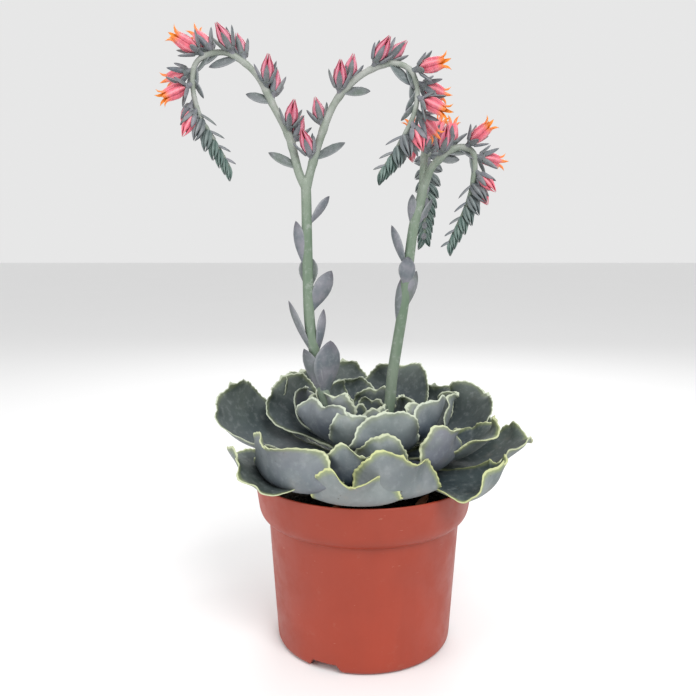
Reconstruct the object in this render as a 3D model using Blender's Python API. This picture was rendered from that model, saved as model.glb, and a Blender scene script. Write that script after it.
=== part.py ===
"""A potted echeveria with frilled leaves and two flowering stalks.

Metres, +Z up. The origin is the centre of the pot's base, and -Y is the front.
Every leaf, bract, sepal and bud is grown by one rule from a few named sizes, then fused to what it grows from.
"""

import math

import bmesh
import bpy
import numpy as np

# Pot: a thin moulded nursery pot with a deep collar and three drain arches
POT_SIDES = 32
POT_HEIGHT = 0.0930
POT_WALL = 0.0012
RIM_RADIUS = 0.0600
COLLAR_LOW_RADIUS = 0.0578
COLLAR_LOW_Z = 0.0765
COLLAR_STEP_Z = 0.0702
BODY_TOP_RADIUS = 0.0526
BODY_LOW_RADIUS = 0.0484
FOOT_CORNER = 0.0042
DRAIN_AZIMUTHS = (-116.0, 4.0, 124.0)
DRAIN_WIDTH = 0.0190
DRAIN_HEIGHT = 0.0048
DRAIN_DEPTH = 0.0120
DRAIN_SLOPE = 0.50

# Soil and the short underground stem that stands in it
CLEARANCE = 0.0004
SOIL_TOP_Z = 0.0850
SOIL_BUMP = 0.0012
STEM_FOOT_Z = 0.0480
STEM_PROFILE = ((0.0000, 0.0480), (0.0052, 0.0480), (0.0070, 0.0840), (0.0100, 0.0930), (0.0125, 0.1010),
                (0.0105, 0.1100), (0.0050, 0.1170), (0.0000, 0.1190))
STEM_SIDES = 12

# Rosette leaves: azimuth, reach of the tip from the axis and its height in mm, width in mm, slope of the end,
# how far in mm the right-hand edge (with a minus, the left-hand one) curls up, and twist of the end in degrees
OUTER_LEAVES = ((-96, 70, 114, 46, 62, 0, 0), (-145, 82, 112, 48, 32, 0, -25),
                (-36, 83, 113, 44, 58, 0, 13), (1, 93, 115, 38, 34, 4, 0), (166, 80, 138, 46, 66, 3, -30),
                (28, 80, 123, 40, 55, 3, 0), (71, 78, 122, 42, 60, 0, 0), (111, 78, 122, 42, 60, 4, 0),
                (142, 78, 123, 40, 60, 0, 0))
SECOND_LEAVES = ((-76, 66, 122, 48, 74, 0, 0), (-130, 69, 127, 60, 78, 0, 0), (-18, 74, 126, 42, 42, 6, 0),
                 (144, 58, 141, 38, 70, 0, -25), (-92, 58, 124, 42, 80, 0, 0), (17, 73, 137, 44, 62, 0, 20),
                 (46, 66, 135, 40, 70, 0, 0), (101, 64, 147, 36, 74, 0, 0), (127, 62, 145, 38, 74, 3, 0))
THIRD_LEAVES = ((-76, 47, 137, 40, 84, 0, 0), (-45, 58, 130, 36, 78, 0, 0), (-82, 53, 127, 30, 84, 0, 0),
                (146, 42, 137, 30, 80, 4, 0), (63, 50, 149, 50, 78, 0, 0), (102, 37, 140, 38, 80, -3, 0),
                (-131, 36, 141, 38, 80, 3, 0), (9, 50, 137, 36, 74, 0, -15))
FOURTH_LEAVES = ((-138, 21, 142, 24, 82, 4, 0), (-100, 37, 135, 28, 84, 0, 0), (-30, 42, 140, 42, 80, 3, 0),
                 (75, 27, 137, 28, 84, 0, 0), (-43, 32, 136, 26, 82, 0, 0), (130, 30, 141, 28, 82, 3, 0),
                 (34, 28, 133, 26, 82, 0, 0), (153, 33, 135, 28, 82, -3, 0))
LEAF_TIERS = (  # leaves, height of the base, steps along half the edge
    (OUTER_LEAVES, 0.0985, 6),
    (SECOND_LEAVES, 0.1010, 6),
    (THIRD_LEAVES, 0.1040, 5),
    (FOURTH_LEAVES, 0.1070, 4),
)
# Leaves with an edge of their own, counted from the outermost: where the dip in the outline of the end lies, as
# a share of half the width, its depth in mm, and the phase of the waves
LEAF_EDGES = {0: (-0.05, 6.0, -1.57), 2: (0.3, 0.0, 2.6), 4: (-0.2, 0.0, 1.6), 9: (0.22, 4.0, -1.9),
              10: (-0.1, 3.0, -1.3), 11: (0.1, 3.0, 1.0), 12: (0.3, 2.0, 4.4), 13: (0.0, 5.0, -1.57),
              18: (0.0, 0.0, 3.2), 19: (0.1, 3.0, 4.2), 20: (-0.1, 2.0, 0.8), 21: (0.0, 2.0, 0.6),
              23: (0.0, 2.0, 1.0), 24: (0.2, 3.0, 2.4), 28: (0.0, 2.0, 3.0)}
PLAIN_DIP = (0.0, 2.5)
PLAIN_PHASE_STEP = 1.7
DIP_SHARE = 0.26
# Shares of the length between which a leaf turns up: most do so slowly, a few leaves in front more sharply
PLAIN_BEND = (0.50, 0.84)
LEAF_BENDS = {0: (0.62, 0.84), 2: (0.68, 0.88), 9: (0.59, 0.78), 10: (0.59, 0.78), 13: (0.60, 0.80),
              18: (0.60, 0.80)}
HEART_LEAVES = 7
HEART_TURN_DEG = 137.5
HEART_START_DEG = 20.0
LEAF_BASE_RADIUS = 0.0050
LEAF_NECK_SHARE = 0.30
LEAF_THICK_BASE = 0.0040
LEAF_THICK_BLADE = 0.0020
LEAF_CUP_RADIUS = 0.044
END_SHARE = 0.62
END_LENGTH_SHARE = 0.52
RIB_END_SHARE = 0.50
FRILL_HEIGHT = 0.0032
LOBE_SHARE = 0.07

# Flower stalks: centre lines from the heart of the rosette upwards
LEFT_STALK = ((-0.0075, -0.0040, 0.1080), (-0.0140, -0.0065, 0.1200), (-0.0204, -0.0080, 0.1350),
              (-0.0264, -0.0080, 0.1610), (-0.0292, -0.0080, 0.1800), (-0.0300, -0.0080, 0.2120),
              (-0.0304, -0.0080, 0.2440), (-0.0310, -0.0080, 0.2520))
ARM_A = ((-0.0305, -0.0080, 0.2470), (-0.0345, -0.0080, 0.2560), (-0.0390, -0.0080, 0.2730),
         (-0.0472, -0.0090, 0.2892), (-0.0540, -0.0100, 0.3021), (-0.0623, -0.0100, 0.3102),
         (-0.0724, -0.0100, 0.3145),
         (-0.0848, -0.0100, 0.3102), (-0.0874, -0.0100, 0.2977), (-0.0846, -0.0090, 0.2843),
         (-0.0793, -0.0070, 0.2744), (-0.0745, -0.0050, 0.2657), (-0.0709, -0.0040, 0.2586))
ARM_B = ((-0.0303, -0.0080, 0.2470), (-0.0275, -0.0085, 0.2580), (-0.0230, -0.0100, 0.2720),
         (-0.0161, -0.0120, 0.2883), (-0.0069, -0.0140, 0.2988), (0.0033, -0.0155, 0.3052),
         (0.0142, -0.0170, 0.3075), (0.0226, -0.0180, 0.3035), (0.0256, -0.0180, 0.2924),
         (0.0235, -0.0180, 0.2813), (0.0180, -0.0160, 0.2704), (0.0122, -0.0150, 0.2610),
         (0.0077, -0.0150, 0.2547))
RIGHT_STALK = ((0.0085, 0.0035, 0.1080), (0.0122, 0.0040, 0.1200), (0.0145, 0.0040, 0.1320),
               (0.0161, 0.0040, 0.1494), (0.0212, 0.0040, 0.1831), (0.0236, 0.0040, 0.2039),
               (0.0265, 0.0040, 0.2275), (0.0302, 0.0040, 0.2420), (0.0315, 0.0040, 0.2500))
ARM_C = ((0.0308, 0.0040, 0.2460), (0.0353, 0.0035, 0.2581), (0.0400, 0.0030, 0.2635), (0.0446, 0.0030, 0.2675),
         (0.0515, 0.0030, 0.2695), (0.0574, 0.0030, 0.2665), (0.0583, 0.0030, 0.2567), (0.0567, 0.0030, 0.2462),
         (0.0532, 0.0030, 0.2355), (0.0490, 0.0030, 0.2265), (0.0459, 0.0030, 0.2194))
ARM_D = ((0.0312, 0.0040, 0.2460), (0.0319, 0.0080, 0.2600), (0.0333, 0.0180, 0.2690), (0.0355, 0.0300, 0.2740),
         (0.0378, 0.0420, 0.2715), (0.0385, 0.0490, 0.2640), (0.0383, 0.0510, 0.2530), (0.0377, 0.0500, 0.2419),
         (0.0369, 0.0475, 0.2310), (0.0363, 0.0455, 0.2225))
STALK_FOOT_RADIUS = 0.0032
STALK_TOP_RADIUS = 0.0026
ARM_FOOT_RADIUS = 0.0024
ARM_TIP_RADIUS = 0.0009

# Bracts on the stalks: height of the root, azimuth, length, width, lean from upright, turn about their length
LEFT_BRACTS = ((137, -50, 30, 18, 14, 0), (139, -162, 27, 15, 27, 20), (166, 180, 31, 8, 30, 25),
               (161, 0, 24, 8.5, 14, -28), (186, -10, 24, 10.5, 30, -55), (199, 80, 18, 10.5, 6, 0),
               (209, -175, 25, 9, 16, 42), (229, 5, 18, 8, 42, -28))
RIGHT_BRACTS = ((171, 182, 27, 8, 2, 30), (179, -5, 21, 9, 21, -40), (195, -80, 17, 9.5, 14, 0),
                (208, 180, 24, 8, 25, 28), (231, 186, 17, 7, 4, 35), (230, 5, 17, 6, 37, -25))
# Bracts on the inner side of the arms: distance along the arm and length
ARM_BRACTS = {"A": ((0.012, 0.0165), (0.047, 0.0135), (0.075, 0.0150)),
              "B": ((0.016, 0.0180), (0.052, 0.0140), (0.080, 0.0150)),
              "C": ((0.020, 0.0105),), "D": ((0.020, 0.0105),)}

# Blooms along each arm: distance from the fork in mm, and stage
BLOOMS = {"A": ((23, "spent"), (29, "spent"), (47, "spent"), (53, "spent"), (70, "spent"), (76, "spent"),
                (87, "open"), (92, "open"), (101, "open"), (108, "open"), (115, "bud"), (120, "bud")),
          "B": ((14, "spent"), (31, "spent"), (49, "spent"), (55, "spent"), (70, "spent"), (76, "spent"),
                (91, "open"), (97, "open"), (104, "open"), (110, "open"), (116, "bud"), (121, "bud")),
          "C": ((20, "spent"), (27, "open"), (35, "open"), (42, "open"), (49, "bud"), (54, "bud")),
          "D": ((22, "spent"), (30, "open"), (38, "open"), (46, "bud"), (53, "bud"))}
BUD_SPACING = 0.0028
BUD_LENGTH = 0.0148
BUD_RADIUS = 0.0036
BUD_SIDE_DEG = 50.0
ARM_FACES = {"A": (0.0, -1.0, 0.0), "B": (0.0, 1.0, 0.0), "C": (0.0, 1.0, 0.0), "D": (-1.0, 0.15, 0.0)}
BLOOM_SHAPES = {  # length, widest radius, flare of the petal tips, lean of the axis along the arm, sepal length
    "spent": (0.0130, 0.0037, 0.0, 50.0, 0.0090),
    "open": (0.0145, 0.0040, 1.20, 28.0, 0.0085),
    "bud": (0.0122, 0.0035, 0.0, 44.0, 0.0078),
}
SEPAL_SPREAD = {"spent": 0.0068, "open": 0.0076, "bud": 0.0056}
SEPAL_HALF = 0.0017
SIDE_DEG = 32.0
PEDICEL = 0.0034
BRACT_DROP = 0.0026
BRACT_TURN = 0.8
SEAT_GAP = 0.00035
PETALS = 5
SMOOTH_DEG = 35.0
FRONT = np.array((0.0, -1.0, 0.0))

COLOURS = {  # colour, roughness
    "terracotta_plastic": ((0.36, 0.075, 0.03, 1.0), 0.45),
    "soil": ((0.025, 0.018, 0.013, 1.0), 0.95),
    "leaf": ((0.20, 0.26, 0.25, 1.0), 0.62),
    "stalk": ((0.24, 0.33, 0.25, 1.0), 0.60),
    "petal": ((0.75, 0.13, 0.20, 1.0), 0.50),
}


def clear_scene():
    """Starts from an empty scene."""
    for thing in list(bpy.data.objects):
        bpy.data.objects.remove(thing)


def finish_of(slot):
    """One Principled material for each finish, made once."""
    if slot in bpy.data.materials:
        return bpy.data.materials[slot]
    colour, roughness = COLOURS[slot]
    made = bpy.data.materials.new(slot)
    made.use_nodes = True
    shader = made.node_tree.nodes["Principled BSDF"]
    shader.inputs["Base Color"].default_value = colour
    shader.inputs["Roughness"].default_value = roughness
    made.diffuse_color = colour
    return made


def mesh_object(name, points, faces, slot):
    """A closed solid from its points and faces, turned to face outwards."""
    mesh = bpy.data.meshes.new(name)
    mesh.from_pydata([tuple(p) for p in points], [], [tuple(f) for f in faces])
    shape = bmesh.new()
    shape.from_mesh(mesh)
    bmesh.ops.recalc_face_normals(shape, faces=shape.faces)
    shape.to_mesh(mesh)
    shape.free()
    mesh.materials.append(finish_of(slot))
    made = bpy.data.objects.new(name, mesh)
    bpy.context.scene.collection.objects.link(made)
    return made


def turned(name, profile, sides, slot):
    """A closed solid turned round +Z from (radius, height) points that start and end on the axis."""
    mesh = bpy.data.meshes.new(name)
    shape = bmesh.new()
    chain = [shape.verts.new((r, 0.0, z)) for r, z in profile]
    edges = [shape.edges.new(pair) for pair in zip(chain, chain[1:])]
    bmesh.ops.spin(shape, geom=chain + edges, cent=(0, 0, 0), axis=(0, 0, 1),
                   angle=math.tau, steps=sides, use_merge=True, use_duplicate=False)
    bmesh.ops.remove_doubles(shape, verts=shape.verts, dist=1e-6)
    bmesh.ops.recalc_face_normals(shape, faces=shape.faces)
    shape.to_mesh(mesh)
    shape.free()
    mesh.materials.append(finish_of(slot))
    made = bpy.data.objects.new(name, mesh)
    bpy.context.scene.collection.objects.link(made)
    return made


def outermost_body(obj):
    """Keeps the largest connected surface: sealed hollows and loose scraps left by fusing go."""
    shape = bmesh.new()
    shape.from_mesh(obj.data)
    left = set(shape.verts)
    islands = []
    while left:
        island = set()
        edge = [left.pop()]
        while edge:
            vert = edge.pop()
            island.add(vert)
            near = [e.other_vert(vert) for e in vert.link_edges]
            edge += [v for v in near if v in left]
            left.difference_update(near)
        islands.append(island)
    islands.sort(key=len)
    for island in islands[:-1]:
        bmesh.ops.delete(shape, geom=list(island), context="VERTS")
    shape.to_mesh(obj.data)
    shape.free()


def boolean(obj, others, operation, solver="EXACT"):
    """One Boolean of obj with every object in others, applied, and the others removed."""
    tools = bpy.data.collections.new("tools")
    bpy.context.scene.collection.children.link(tools)
    for other in others:
        tools.objects.link(other)
        bpy.context.scene.collection.objects.unlink(other)
    join = obj.modifiers.new(operation.lower(), "BOOLEAN")
    join.operation = operation
    join.operand_type = "COLLECTION"
    join.collection = tools
    join.solver = solver
    graph = bpy.context.evaluated_depsgraph_get()
    mesh = bpy.data.meshes.new_from_object(obj.evaluated_get(graph), depsgraph=graph)
    obj.modifiers.clear()
    obj.data = mesh
    for other in list(tools.objects):
        bpy.data.objects.remove(other)
    bpy.data.collections.remove(tools)
    outermost_body(obj)
    return obj


def shade_round(obj):
    """Smooth shading that keeps real corners crisp."""
    obj.data.shade_smooth()
    obj.data.set_sharp_from_angle(angle=math.radians(SMOOTH_DEG))


def unit(v):
    """The direction of v, one long."""
    v = np.asarray(v, float)
    return v / np.linalg.norm(v)


def smooth_route(points, spacing):
    """Points an even distance apart along a Catmull-Rom curve through the given ones."""
    p = np.asarray(points, float)
    p = np.vstack([2 * p[0] - p[1], p, 2 * p[-1] - p[-2]])
    t = np.linspace(0, 1, 12, endpoint=False)[:, None]
    spans = []
    for a, b, c, d in zip(p, p[1:], p[2:], p[3:]):
        square, cube = 2 * a - 5 * b + 4 * c - d, 3 * b - a - 3 * c + d
        spans.append(0.5 * (2 * b + (c - a) * t + square * t**2 + cube * t**3))
    dense = np.vstack([*spans, p[-2:-1]])
    run = np.concatenate([[0], np.cumsum(np.linalg.norm(np.diff(dense, axis=0), axis=1))])
    stops = np.linspace(0, run[-1], max(2, round(run[-1] / spacing)) + 1)
    return np.stack([np.interp(stops, run, dense[:, k]) for k in range(3)], 1), stops


def tube(name, route, radii, bevel_resolution, slot):
    """A closed round stem along a route, as a bevelled poly curve turned into a mesh."""
    curve = bpy.data.curves.new(name, "CURVE")
    curve.dimensions = "3D"
    curve.bevel_depth = 1.0
    curve.bevel_resolution = bevel_resolution
    curve.use_fill_caps = True
    line = curve.splines.new("POLY")
    line.points.add(len(route) - 1)
    for point, place, radius in zip(line.points, route, radii):
        point.co = (*place, 1.0)
        point.radius = radius
    guide = bpy.data.objects.new(name, curve)
    bpy.context.scene.collection.objects.link(guide)
    graph = bpy.context.evaluated_depsgraph_get()
    mesh = bpy.data.meshes.new_from_object(guide.evaluated_get(graph), depsgraph=graph)
    bpy.data.objects.remove(guide)
    shape = bmesh.new()
    shape.from_mesh(mesh)
    bmesh.ops.remove_doubles(shape, verts=shape.verts, dist=1e-6)
    bmesh.ops.recalc_face_normals(shape, faces=shape.faces)
    shape.to_mesh(mesh)
    shape.free()
    mesh.materials.clear()
    mesh.materials.append(finish_of(slot))
    made = bpy.data.objects.new(name, mesh)
    bpy.context.scene.collection.objects.link(made)
    return made


def lofted(name, rings, tip, slot):
    """A closed solid through rings of equal count, capped flat at the root and drawn to a point at the tip."""
    count = len(rings[0])
    points = [p for ring in rings for p in ring] + [tip]
    faces = [tuple(reversed(range(count)))]
    for k in range(len(rings) - 1):
        low, high = k * count, (k + 1) * count
        faces += [(low + i, low + (i + 1) % count, high + (i + 1) % count) for i in range(count)]
        faces += [(low + i, high + (i + 1) % count, high + i) for i in range(count)]
    last = (len(rings) - 1) * count
    faces += [(last + i, last + (i + 1) % count, len(points) - 1) for i in range(count)]
    return mesh_object(name, points, faces, slot)


def blade(name, root, direction, face, length, width, thick, curl, stations, slot):
    """A narrow fleshy leaf with a keeled back. face points to its inner side, and curl bends its tip that way."""
    d = unit(direction)
    side = unit(np.cross(d, face))
    inner = np.cross(side, d)
    rings = []
    for share, wide in stations:
        centre = root + d * length * share + inner * length * curl * share**2
        rings.append([centre - side * width * wide / 2, centre + side * width * wide / 2,
                      centre - inner * thick * (0.5 + 0.5 * wide)])
    return lofted(name, rings, root + d * length + inner * length * curl, slot)


def pot_profile():
    """Outer wall from the axis out and up to the rim, then the inner wall back down to the axis."""
    foot = BODY_LOW_RADIUS - FOOT_CORNER
    outer = [(0.0, 0.0), (foot, 0.0), (foot + 0.7 * FOOT_CORNER, 0.3 * FOOT_CORNER),
             (BODY_LOW_RADIUS, FOOT_CORNER), (BODY_TOP_RADIUS, COLLAR_STEP_Z - 0.0003),
             (BODY_TOP_RADIUS + 0.0012, COLLAR_STEP_Z), (COLLAR_LOW_RADIUS - 0.0012, COLLAR_STEP_Z + 0.0026),
             (COLLAR_LOW_RADIUS, COLLAR_LOW_Z), (RIM_RADIUS, POT_HEIGHT - 0.0004),
             (RIM_RADIUS - 0.0004, POT_HEIGHT)]
    inner = [(RIM_RADIUS - POT_WALL, POT_HEIGHT), (COLLAR_LOW_RADIUS - POT_WALL, COLLAR_LOW_Z + 0.0005),
             (BODY_TOP_RADIUS - POT_WALL + 0.0008, COLLAR_STEP_Z + 0.0018),
             (BODY_TOP_RADIUS - POT_WALL, COLLAR_STEP_Z - 0.0010),
             (BODY_LOW_RADIUS - POT_WALL, FOOT_CORNER + 0.0006),
             (foot, POT_WALL + 0.0004), (0.0, POT_WALL + 0.0004)]
    return outer + inner


def drain_block(name, azimuth, widen, drop, slot):
    """A wedge across the foot of the wall: the pocket of one drain arch, grown by widen on top and sides."""
    a = math.radians(azimuth)
    out = np.array([math.cos(a), math.sin(a), 0])
    side = np.array([-math.sin(a), math.cos(a), 0])
    high = DRAIN_HEIGHT + widen
    reach = BODY_LOW_RADIUS + 0.004
    inset = BODY_LOW_RADIUS - DRAIN_DEPTH - widen
    points = []
    for r in (inset, reach):
        for z in (-drop, high):
            half = DRAIN_WIDTH / 2 + widen - DRAIN_SLOPE * z
            points += [out * r - side * half + (0, 0, z), out * r + side * half + (0, 0, z)]
    faces = ((0, 2, 3, 1), (4, 5, 7, 6), (0, 1, 5, 4), (2, 6, 7, 3), (0, 4, 6, 2), (1, 3, 7, 5))
    return mesh_object(name, points, faces, slot)


def make_pot():
    """The turned shell with three arches pressed up into its foot, each roofed inside by a pocket."""
    pot = turned("pot", pot_profile(), POT_SIDES, "terracotta_plastic")
    roofs = [drain_block("roof", a, POT_WALL, -0.0005, "terracotta_plastic") for a in DRAIN_AZIMUTHS]
    inside = BODY_LOW_RADIUS - 0.0006
    drum = ((0, -0.01), (inside, -0.01), (inside, 0.02), (0, 0.02))
    trim = turned("trim", drum, POT_SIDES, "terracotta_plastic")
    for roof in roofs:
        keep = trim.copy()
        bpy.context.scene.collection.objects.link(keep)
        boolean(roof, [keep], "INTERSECT")
    bpy.data.objects.remove(trim)
    boolean(pot, roofs, "UNION")
    arches = [drain_block("arch", a, 0.0, 0.003, "terracotta_plastic") for a in DRAIN_AZIMUTHS]
    boolean(pot, arches, "DIFFERENCE")
    shade_round(pot)
    return pot


def soil_height(r, angle):
    """Loose, slightly domed soil: long lumps that fade towards the wall."""
    lumps = math.sin(3 * angle + 1.0) + 0.7 * math.sin(5 * angle + 260 * r)
    lumps += 0.5 * math.cos(8 * angle - 150 * r)
    dome = math.cos(r / RIM_RADIUS * math.pi / 2)
    return SOIL_TOP_Z + SOIL_BUMP * (0.6 * lumps * min(1.0, r / 0.02) + 1.4 * dome)


def make_soil():
    """Fills the pot to just under its rim, clear of the wall, the pockets and the buried stem."""
    gap = POT_WALL + CLEARANCE
    foot = BODY_LOW_RADIUS - FOOT_CORNER
    flare = (RIM_RADIUS - COLLAR_LOW_RADIUS) / (POT_HEIGHT - COLLAR_LOW_Z)
    edge = COLLAR_LOW_RADIUS + flare * (SOIL_TOP_Z - COLLAR_LOW_Z)
    rings = (0.022, 0.040)
    profile = [(0.0, gap + 0.0004), (foot - 0.0002, gap + 0.0004),
               (BODY_LOW_RADIUS - gap, FOOT_CORNER + 0.0010), (BODY_TOP_RADIUS - gap, COLLAR_STEP_Z - 0.0008),
               (BODY_TOP_RADIUS - gap + 0.0008, COLLAR_STEP_Z + 0.0023),
               (COLLAR_LOW_RADIUS - gap, COLLAR_LOW_Z + 0.0008), (edge - gap, SOIL_TOP_Z - 0.0006)]
    profile += [(r, SOIL_TOP_Z) for r in reversed(rings)] + [(0.0, SOIL_TOP_Z + 0.001)]
    soil = turned("soil", profile, POT_SIDES, "soil")
    for vert in soil.data.vertices:
        r = math.hypot(vert.co.x, vert.co.y)
        if vert.co.z > SOIL_TOP_Z - 0.0003:
            vert.co.z = soil_height(r, math.atan2(vert.co.y, vert.co.x))
    hole = [(r + (CLEARANCE if r else 0.0), z - (CLEARANCE if z < STEM_FOOT_Z + 1e-4 else 0.0))
            for r, z in STEM_PROFILE]
    cutters = [turned("stem_hole", hole, STEM_SIDES, "soil")]
    cutters += [drain_block("pocket", a, POT_WALL + CLEARANCE, 0.004, "soil") for a in DRAIN_AZIMUTHS]
    return boolean(soil, cutters, "DIFFERENCE")


def leaf_line(reach, rise, end_slope, bend):
    """Centre line of a leaf, from its base out and then up, as (distance, radius, height, slope) samples.

    The slope holds its first value, turns smoothly to end_slope between the two shares of bend, and holds that.
    The first value is found by halving, so that the line ends at the wanted reach and rise.
    """
    share = np.linspace(0, 1, 81)
    turn = np.clip((share - bend[0]) / (bend[1] - bend[0]), 0, 1)
    turn = turn**2 * (3 - 2 * turn)
    low, high = -0.8, end_slope
    for _ in range(30):
        first = (low + high) / 2
        slope = first + (end_slope - first) * turn
        run = np.concatenate([[0], np.cumsum(np.cos(slope[:-1] / 2 + slope[1:] / 2))]) / 80
        lift = np.concatenate([[0], np.cumsum(np.sin(slope[:-1] / 2 + slope[1:] / 2))]) / 80
        if math.atan2(lift[-1], run[-1]) > math.atan2(rise, reach):
            high = first
        else:
            low = first
    length = reach / run[-1]
    return share * length, run * length, lift * length, slope


def leaf_grid(number, azimuth, reach, tip_z, width, end_slope, curl, twist, base_z, steps):
    """Upper and lower points of one frilled leaf, as rows from midrib to edge and columns along the edge.

    The outline is a spoon: a narrow neck that widens to a round end with a dip in it. Columns run from the base
    on one side round the tip to the base on the other, so that the waves along the edge stay even.
    """
    column = np.linspace(-1, 1, 2 * steps + 1)
    q, hand = np.abs(column), np.sign(column)
    dip_at, dip_depth, phase = LEAF_EDGES.get(number, (*PLAIN_DIP, PLAIN_PHASE_STEP * number))
    bend = LEAF_BENDS.get(number, PLAIN_BEND)
    end = math.radians(end_slope)
    run, radius, rise, slope = leaf_line(reach - LEAF_BASE_RADIUS, tip_z - base_z, end, bend)
    length = run[-1]
    turn = np.clip(q / END_SHARE, 0, 1) * math.pi / 2
    flank = np.clip((1 - q) / (1 - END_SHARE), 0, 1)
    widest = length - END_LENGTH_SHARE * width
    neck = LEAF_NECK_SHARE * width
    swell = flank**3 * (4 - 3 * flank)
    lobes = 1 + LOBE_SHARE * np.sin(7.3 * column + 2.1 * phase) * np.clip(2.4 * (1 - q), 0, 1)
    round_end = width / 2 * np.sin(turn) ** 0.8
    edge_x = hand * lobes * np.where(q < END_SHARE, round_end, neck / 2 + (width - neck) / 2 * swell)
    dip = dip_depth / 1000 * np.exp(-(((2 * edge_x / width - dip_at) / DIP_SHARE) ** 2)) * np.sqrt(np.cos(turn))
    edge_s = np.where(q < END_SHARE, widest + (length - widest) * np.cos(turn) * lobes - dip, widest * flank)
    rib_end = RIB_END_SHARE * (length - widest) * (1 - q / END_SHARE)
    rib_s = np.where(q < END_SHARE, widest + rib_end, widest * flank)
    a = np.array([0.0, 0.60, 1.0])[:, None]
    x = a * edge_x
    s = rib_s + a * (edge_s - rib_s)
    alpha = np.interp(s, run, slope)
    beyond = np.clip(s - length, 0, None)
    radial = LEAF_BASE_RADIUS + np.interp(s, run, radius) + beyond * np.cos(alpha)
    height = base_z + np.interp(s, run, rise) + beyond * np.sin(alpha)
    spread = np.clip(s / length, 0, 1)
    cup = LEAF_CUP_RADIUS * (1 + 1.2 * (1 - spread))
    across, lift = cup * np.sin(x / cup), cup * (1 - np.cos(x / cup))
    frill = np.sin(9.0 * column + phase) + 0.6 * np.sin(15.0 * column + 2 * phase)
    lift = lift + FRILL_HEIGHT * a**3 * frill * np.clip(1.3 - q, 0, 1) * width / 0.040
    lift = lift + abs(curl) * np.clip(x * math.copysign(2, curl) / width, 0, 1) ** 3 * spread
    thick = (LEAF_THICK_BASE + (LEAF_THICK_BLADE - LEAF_THICK_BASE) * spread) * (1 - a**2)
    roll = math.radians(twist) * spread**2

    def placed(depth):
        up = (lift - depth) * np.cos(roll) + across * np.sin(roll)
        aside = across * np.cos(roll) - (lift - depth) * np.sin(roll)
        r = radial - up * np.sin(alpha)
        z = height + up * np.cos(alpha)
        c = math.cos(math.radians(azimuth))
        d = math.sin(math.radians(azimuth))
        return np.stack([r * c - aside * d, r * d + aside * c, z], -1)

    return placed(0.0), placed(thick)


def leaf_solid(name, upper, lower):
    """Closes a leaf: both faces split alike, joined at the edge, with the midrib shared by the two halves."""
    rows, columns, _ = upper.shape
    middle = columns // 2
    points = []
    index = {}

    def vertex(face, row, column):
        """The number of a point, which the edge and the midrib share between faces and halves."""
        if row == 0:
            column = middle + abs(column - middle)
        if row == rows - 1:
            face = "edge"
        key = (face, row, column)
        if key not in index:
            index[key] = len(points)
            points.append((lower if face == "lower" else upper)[row, column])
        return index[key]

    faces = []
    for row in range(rows - 1):
        for column in range(columns - 1):
            near, far = (row, column), (row + 1, column + 1)
            corners = [near, (row, column + 1), far, (row + 1, column)]
            if column < middle:
                corners = corners[1:] + corners[:1]
            for face in ("upper", "lower"):
                ids = [vertex(face, *c) for c in corners]
                for tri in ((ids[0], ids[1], ids[2]), (ids[0], ids[2], ids[3])):
                    if len(set(tri)) == 3:
                        faces.append(tri if face == "lower" else tri[::-1])
    base = [vertex("upper", row, 0) for row in range(rows - 1, -1, -1)]
    base += [vertex("upper", row, columns - 1) for row in range(1, rows)]
    base += [vertex("lower", row, columns - 1) for row in range(rows - 2, -1, -1)]
    base += [vertex("lower", row, 0) for row in range(1, rows - 1)]
    faces.append(tuple(dict.fromkeys(base)))
    return mesh_object(name, points, faces, "leaf")


def leaf_table():
    """Every leaf from the outermost in: placed tiers first, then the heart by the golden angle."""
    rows = []
    for leaves, base_z, steps in LEAF_TIERS:
        for azimuth, reach, tip, width, slope, curl, twist in leaves:
            rows.append((azimuth, reach / 1000, tip / 1000, width / 1000, slope, curl / 1000, twist,
                         base_z, steps))
    for k in range(HEART_LEAVES):
        inward = k / (HEART_LEAVES - 1)
        azimuth = HEART_START_DEG + k * HEART_TURN_DEG
        rows.append((azimuth, 0.024 - 0.017 * inward, 0.135 - 0.004 * inward, 0.024 - 0.012 * inward,
                     84.0, 0.0, 0.0, 0.109 + 0.005 * inward, 3))
    return rows


def make_rosette(stalk_holes):
    """The short stem with every leaf fused to it, and a plain socket for each flower stalk."""
    rosette = turned("rosette", STEM_PROFILE, STEM_SIDES, "leaf")
    leaves = []
    for k, row in enumerate(leaf_table()):
        upper, lower = leaf_grid(k, *row)
        leaves.append(leaf_solid(f"leaf_{k}", upper, lower))
    boolean(rosette, leaves, "UNION")
    return boolean(rosette, stalk_holes, "DIFFERENCE")


def arm_frames(points):
    """Centre line, distance along it and direction at each point of one arm."""
    route, run = smooth_route(points, 0.0060)
    return route, run, np.gradient(route, axis=0)


def at_distance(route, run, ways, distance):
    """Place and direction at a distance along an arm."""
    place = np.array([np.interp(distance, run, route[:, k]) for k in range(3)])
    return place, unit([np.interp(distance, run, ways[:, k]) for k in range(3)])


def bloom_axis(arm, distance, side_deg, lean_deg, frames):
    """Where a flower leaves its arm, and its way: out from the arch, to one side, leaning along the arm."""
    place, along = at_distance(*frames, distance)
    across = unit(ARM_FACES[arm])
    out = unit(np.cross(along, across))
    side, lean = math.radians(side_deg), math.radians(lean_deg)
    aside = out * math.cos(side) + across * math.sin(side)
    way = along * math.sin(lean) + aside * math.cos(lean)
    return place, unit(way), out


def petal_frame(way):
    """Two directions square to a flower's axis."""
    first = unit(np.cross(way, (0.31, 0.95, 0.10)))
    return first, np.cross(way, first)


def ring_of(centre, way, radii):
    """Points round an axis, one for each radius."""
    first, second = petal_frame(way)
    angles = [math.tau * k / len(radii) for k in range(len(radii))]
    return [centre + r * (math.cos(a) * first + math.sin(a) * second) for r, a in zip(radii, angles)]


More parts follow.
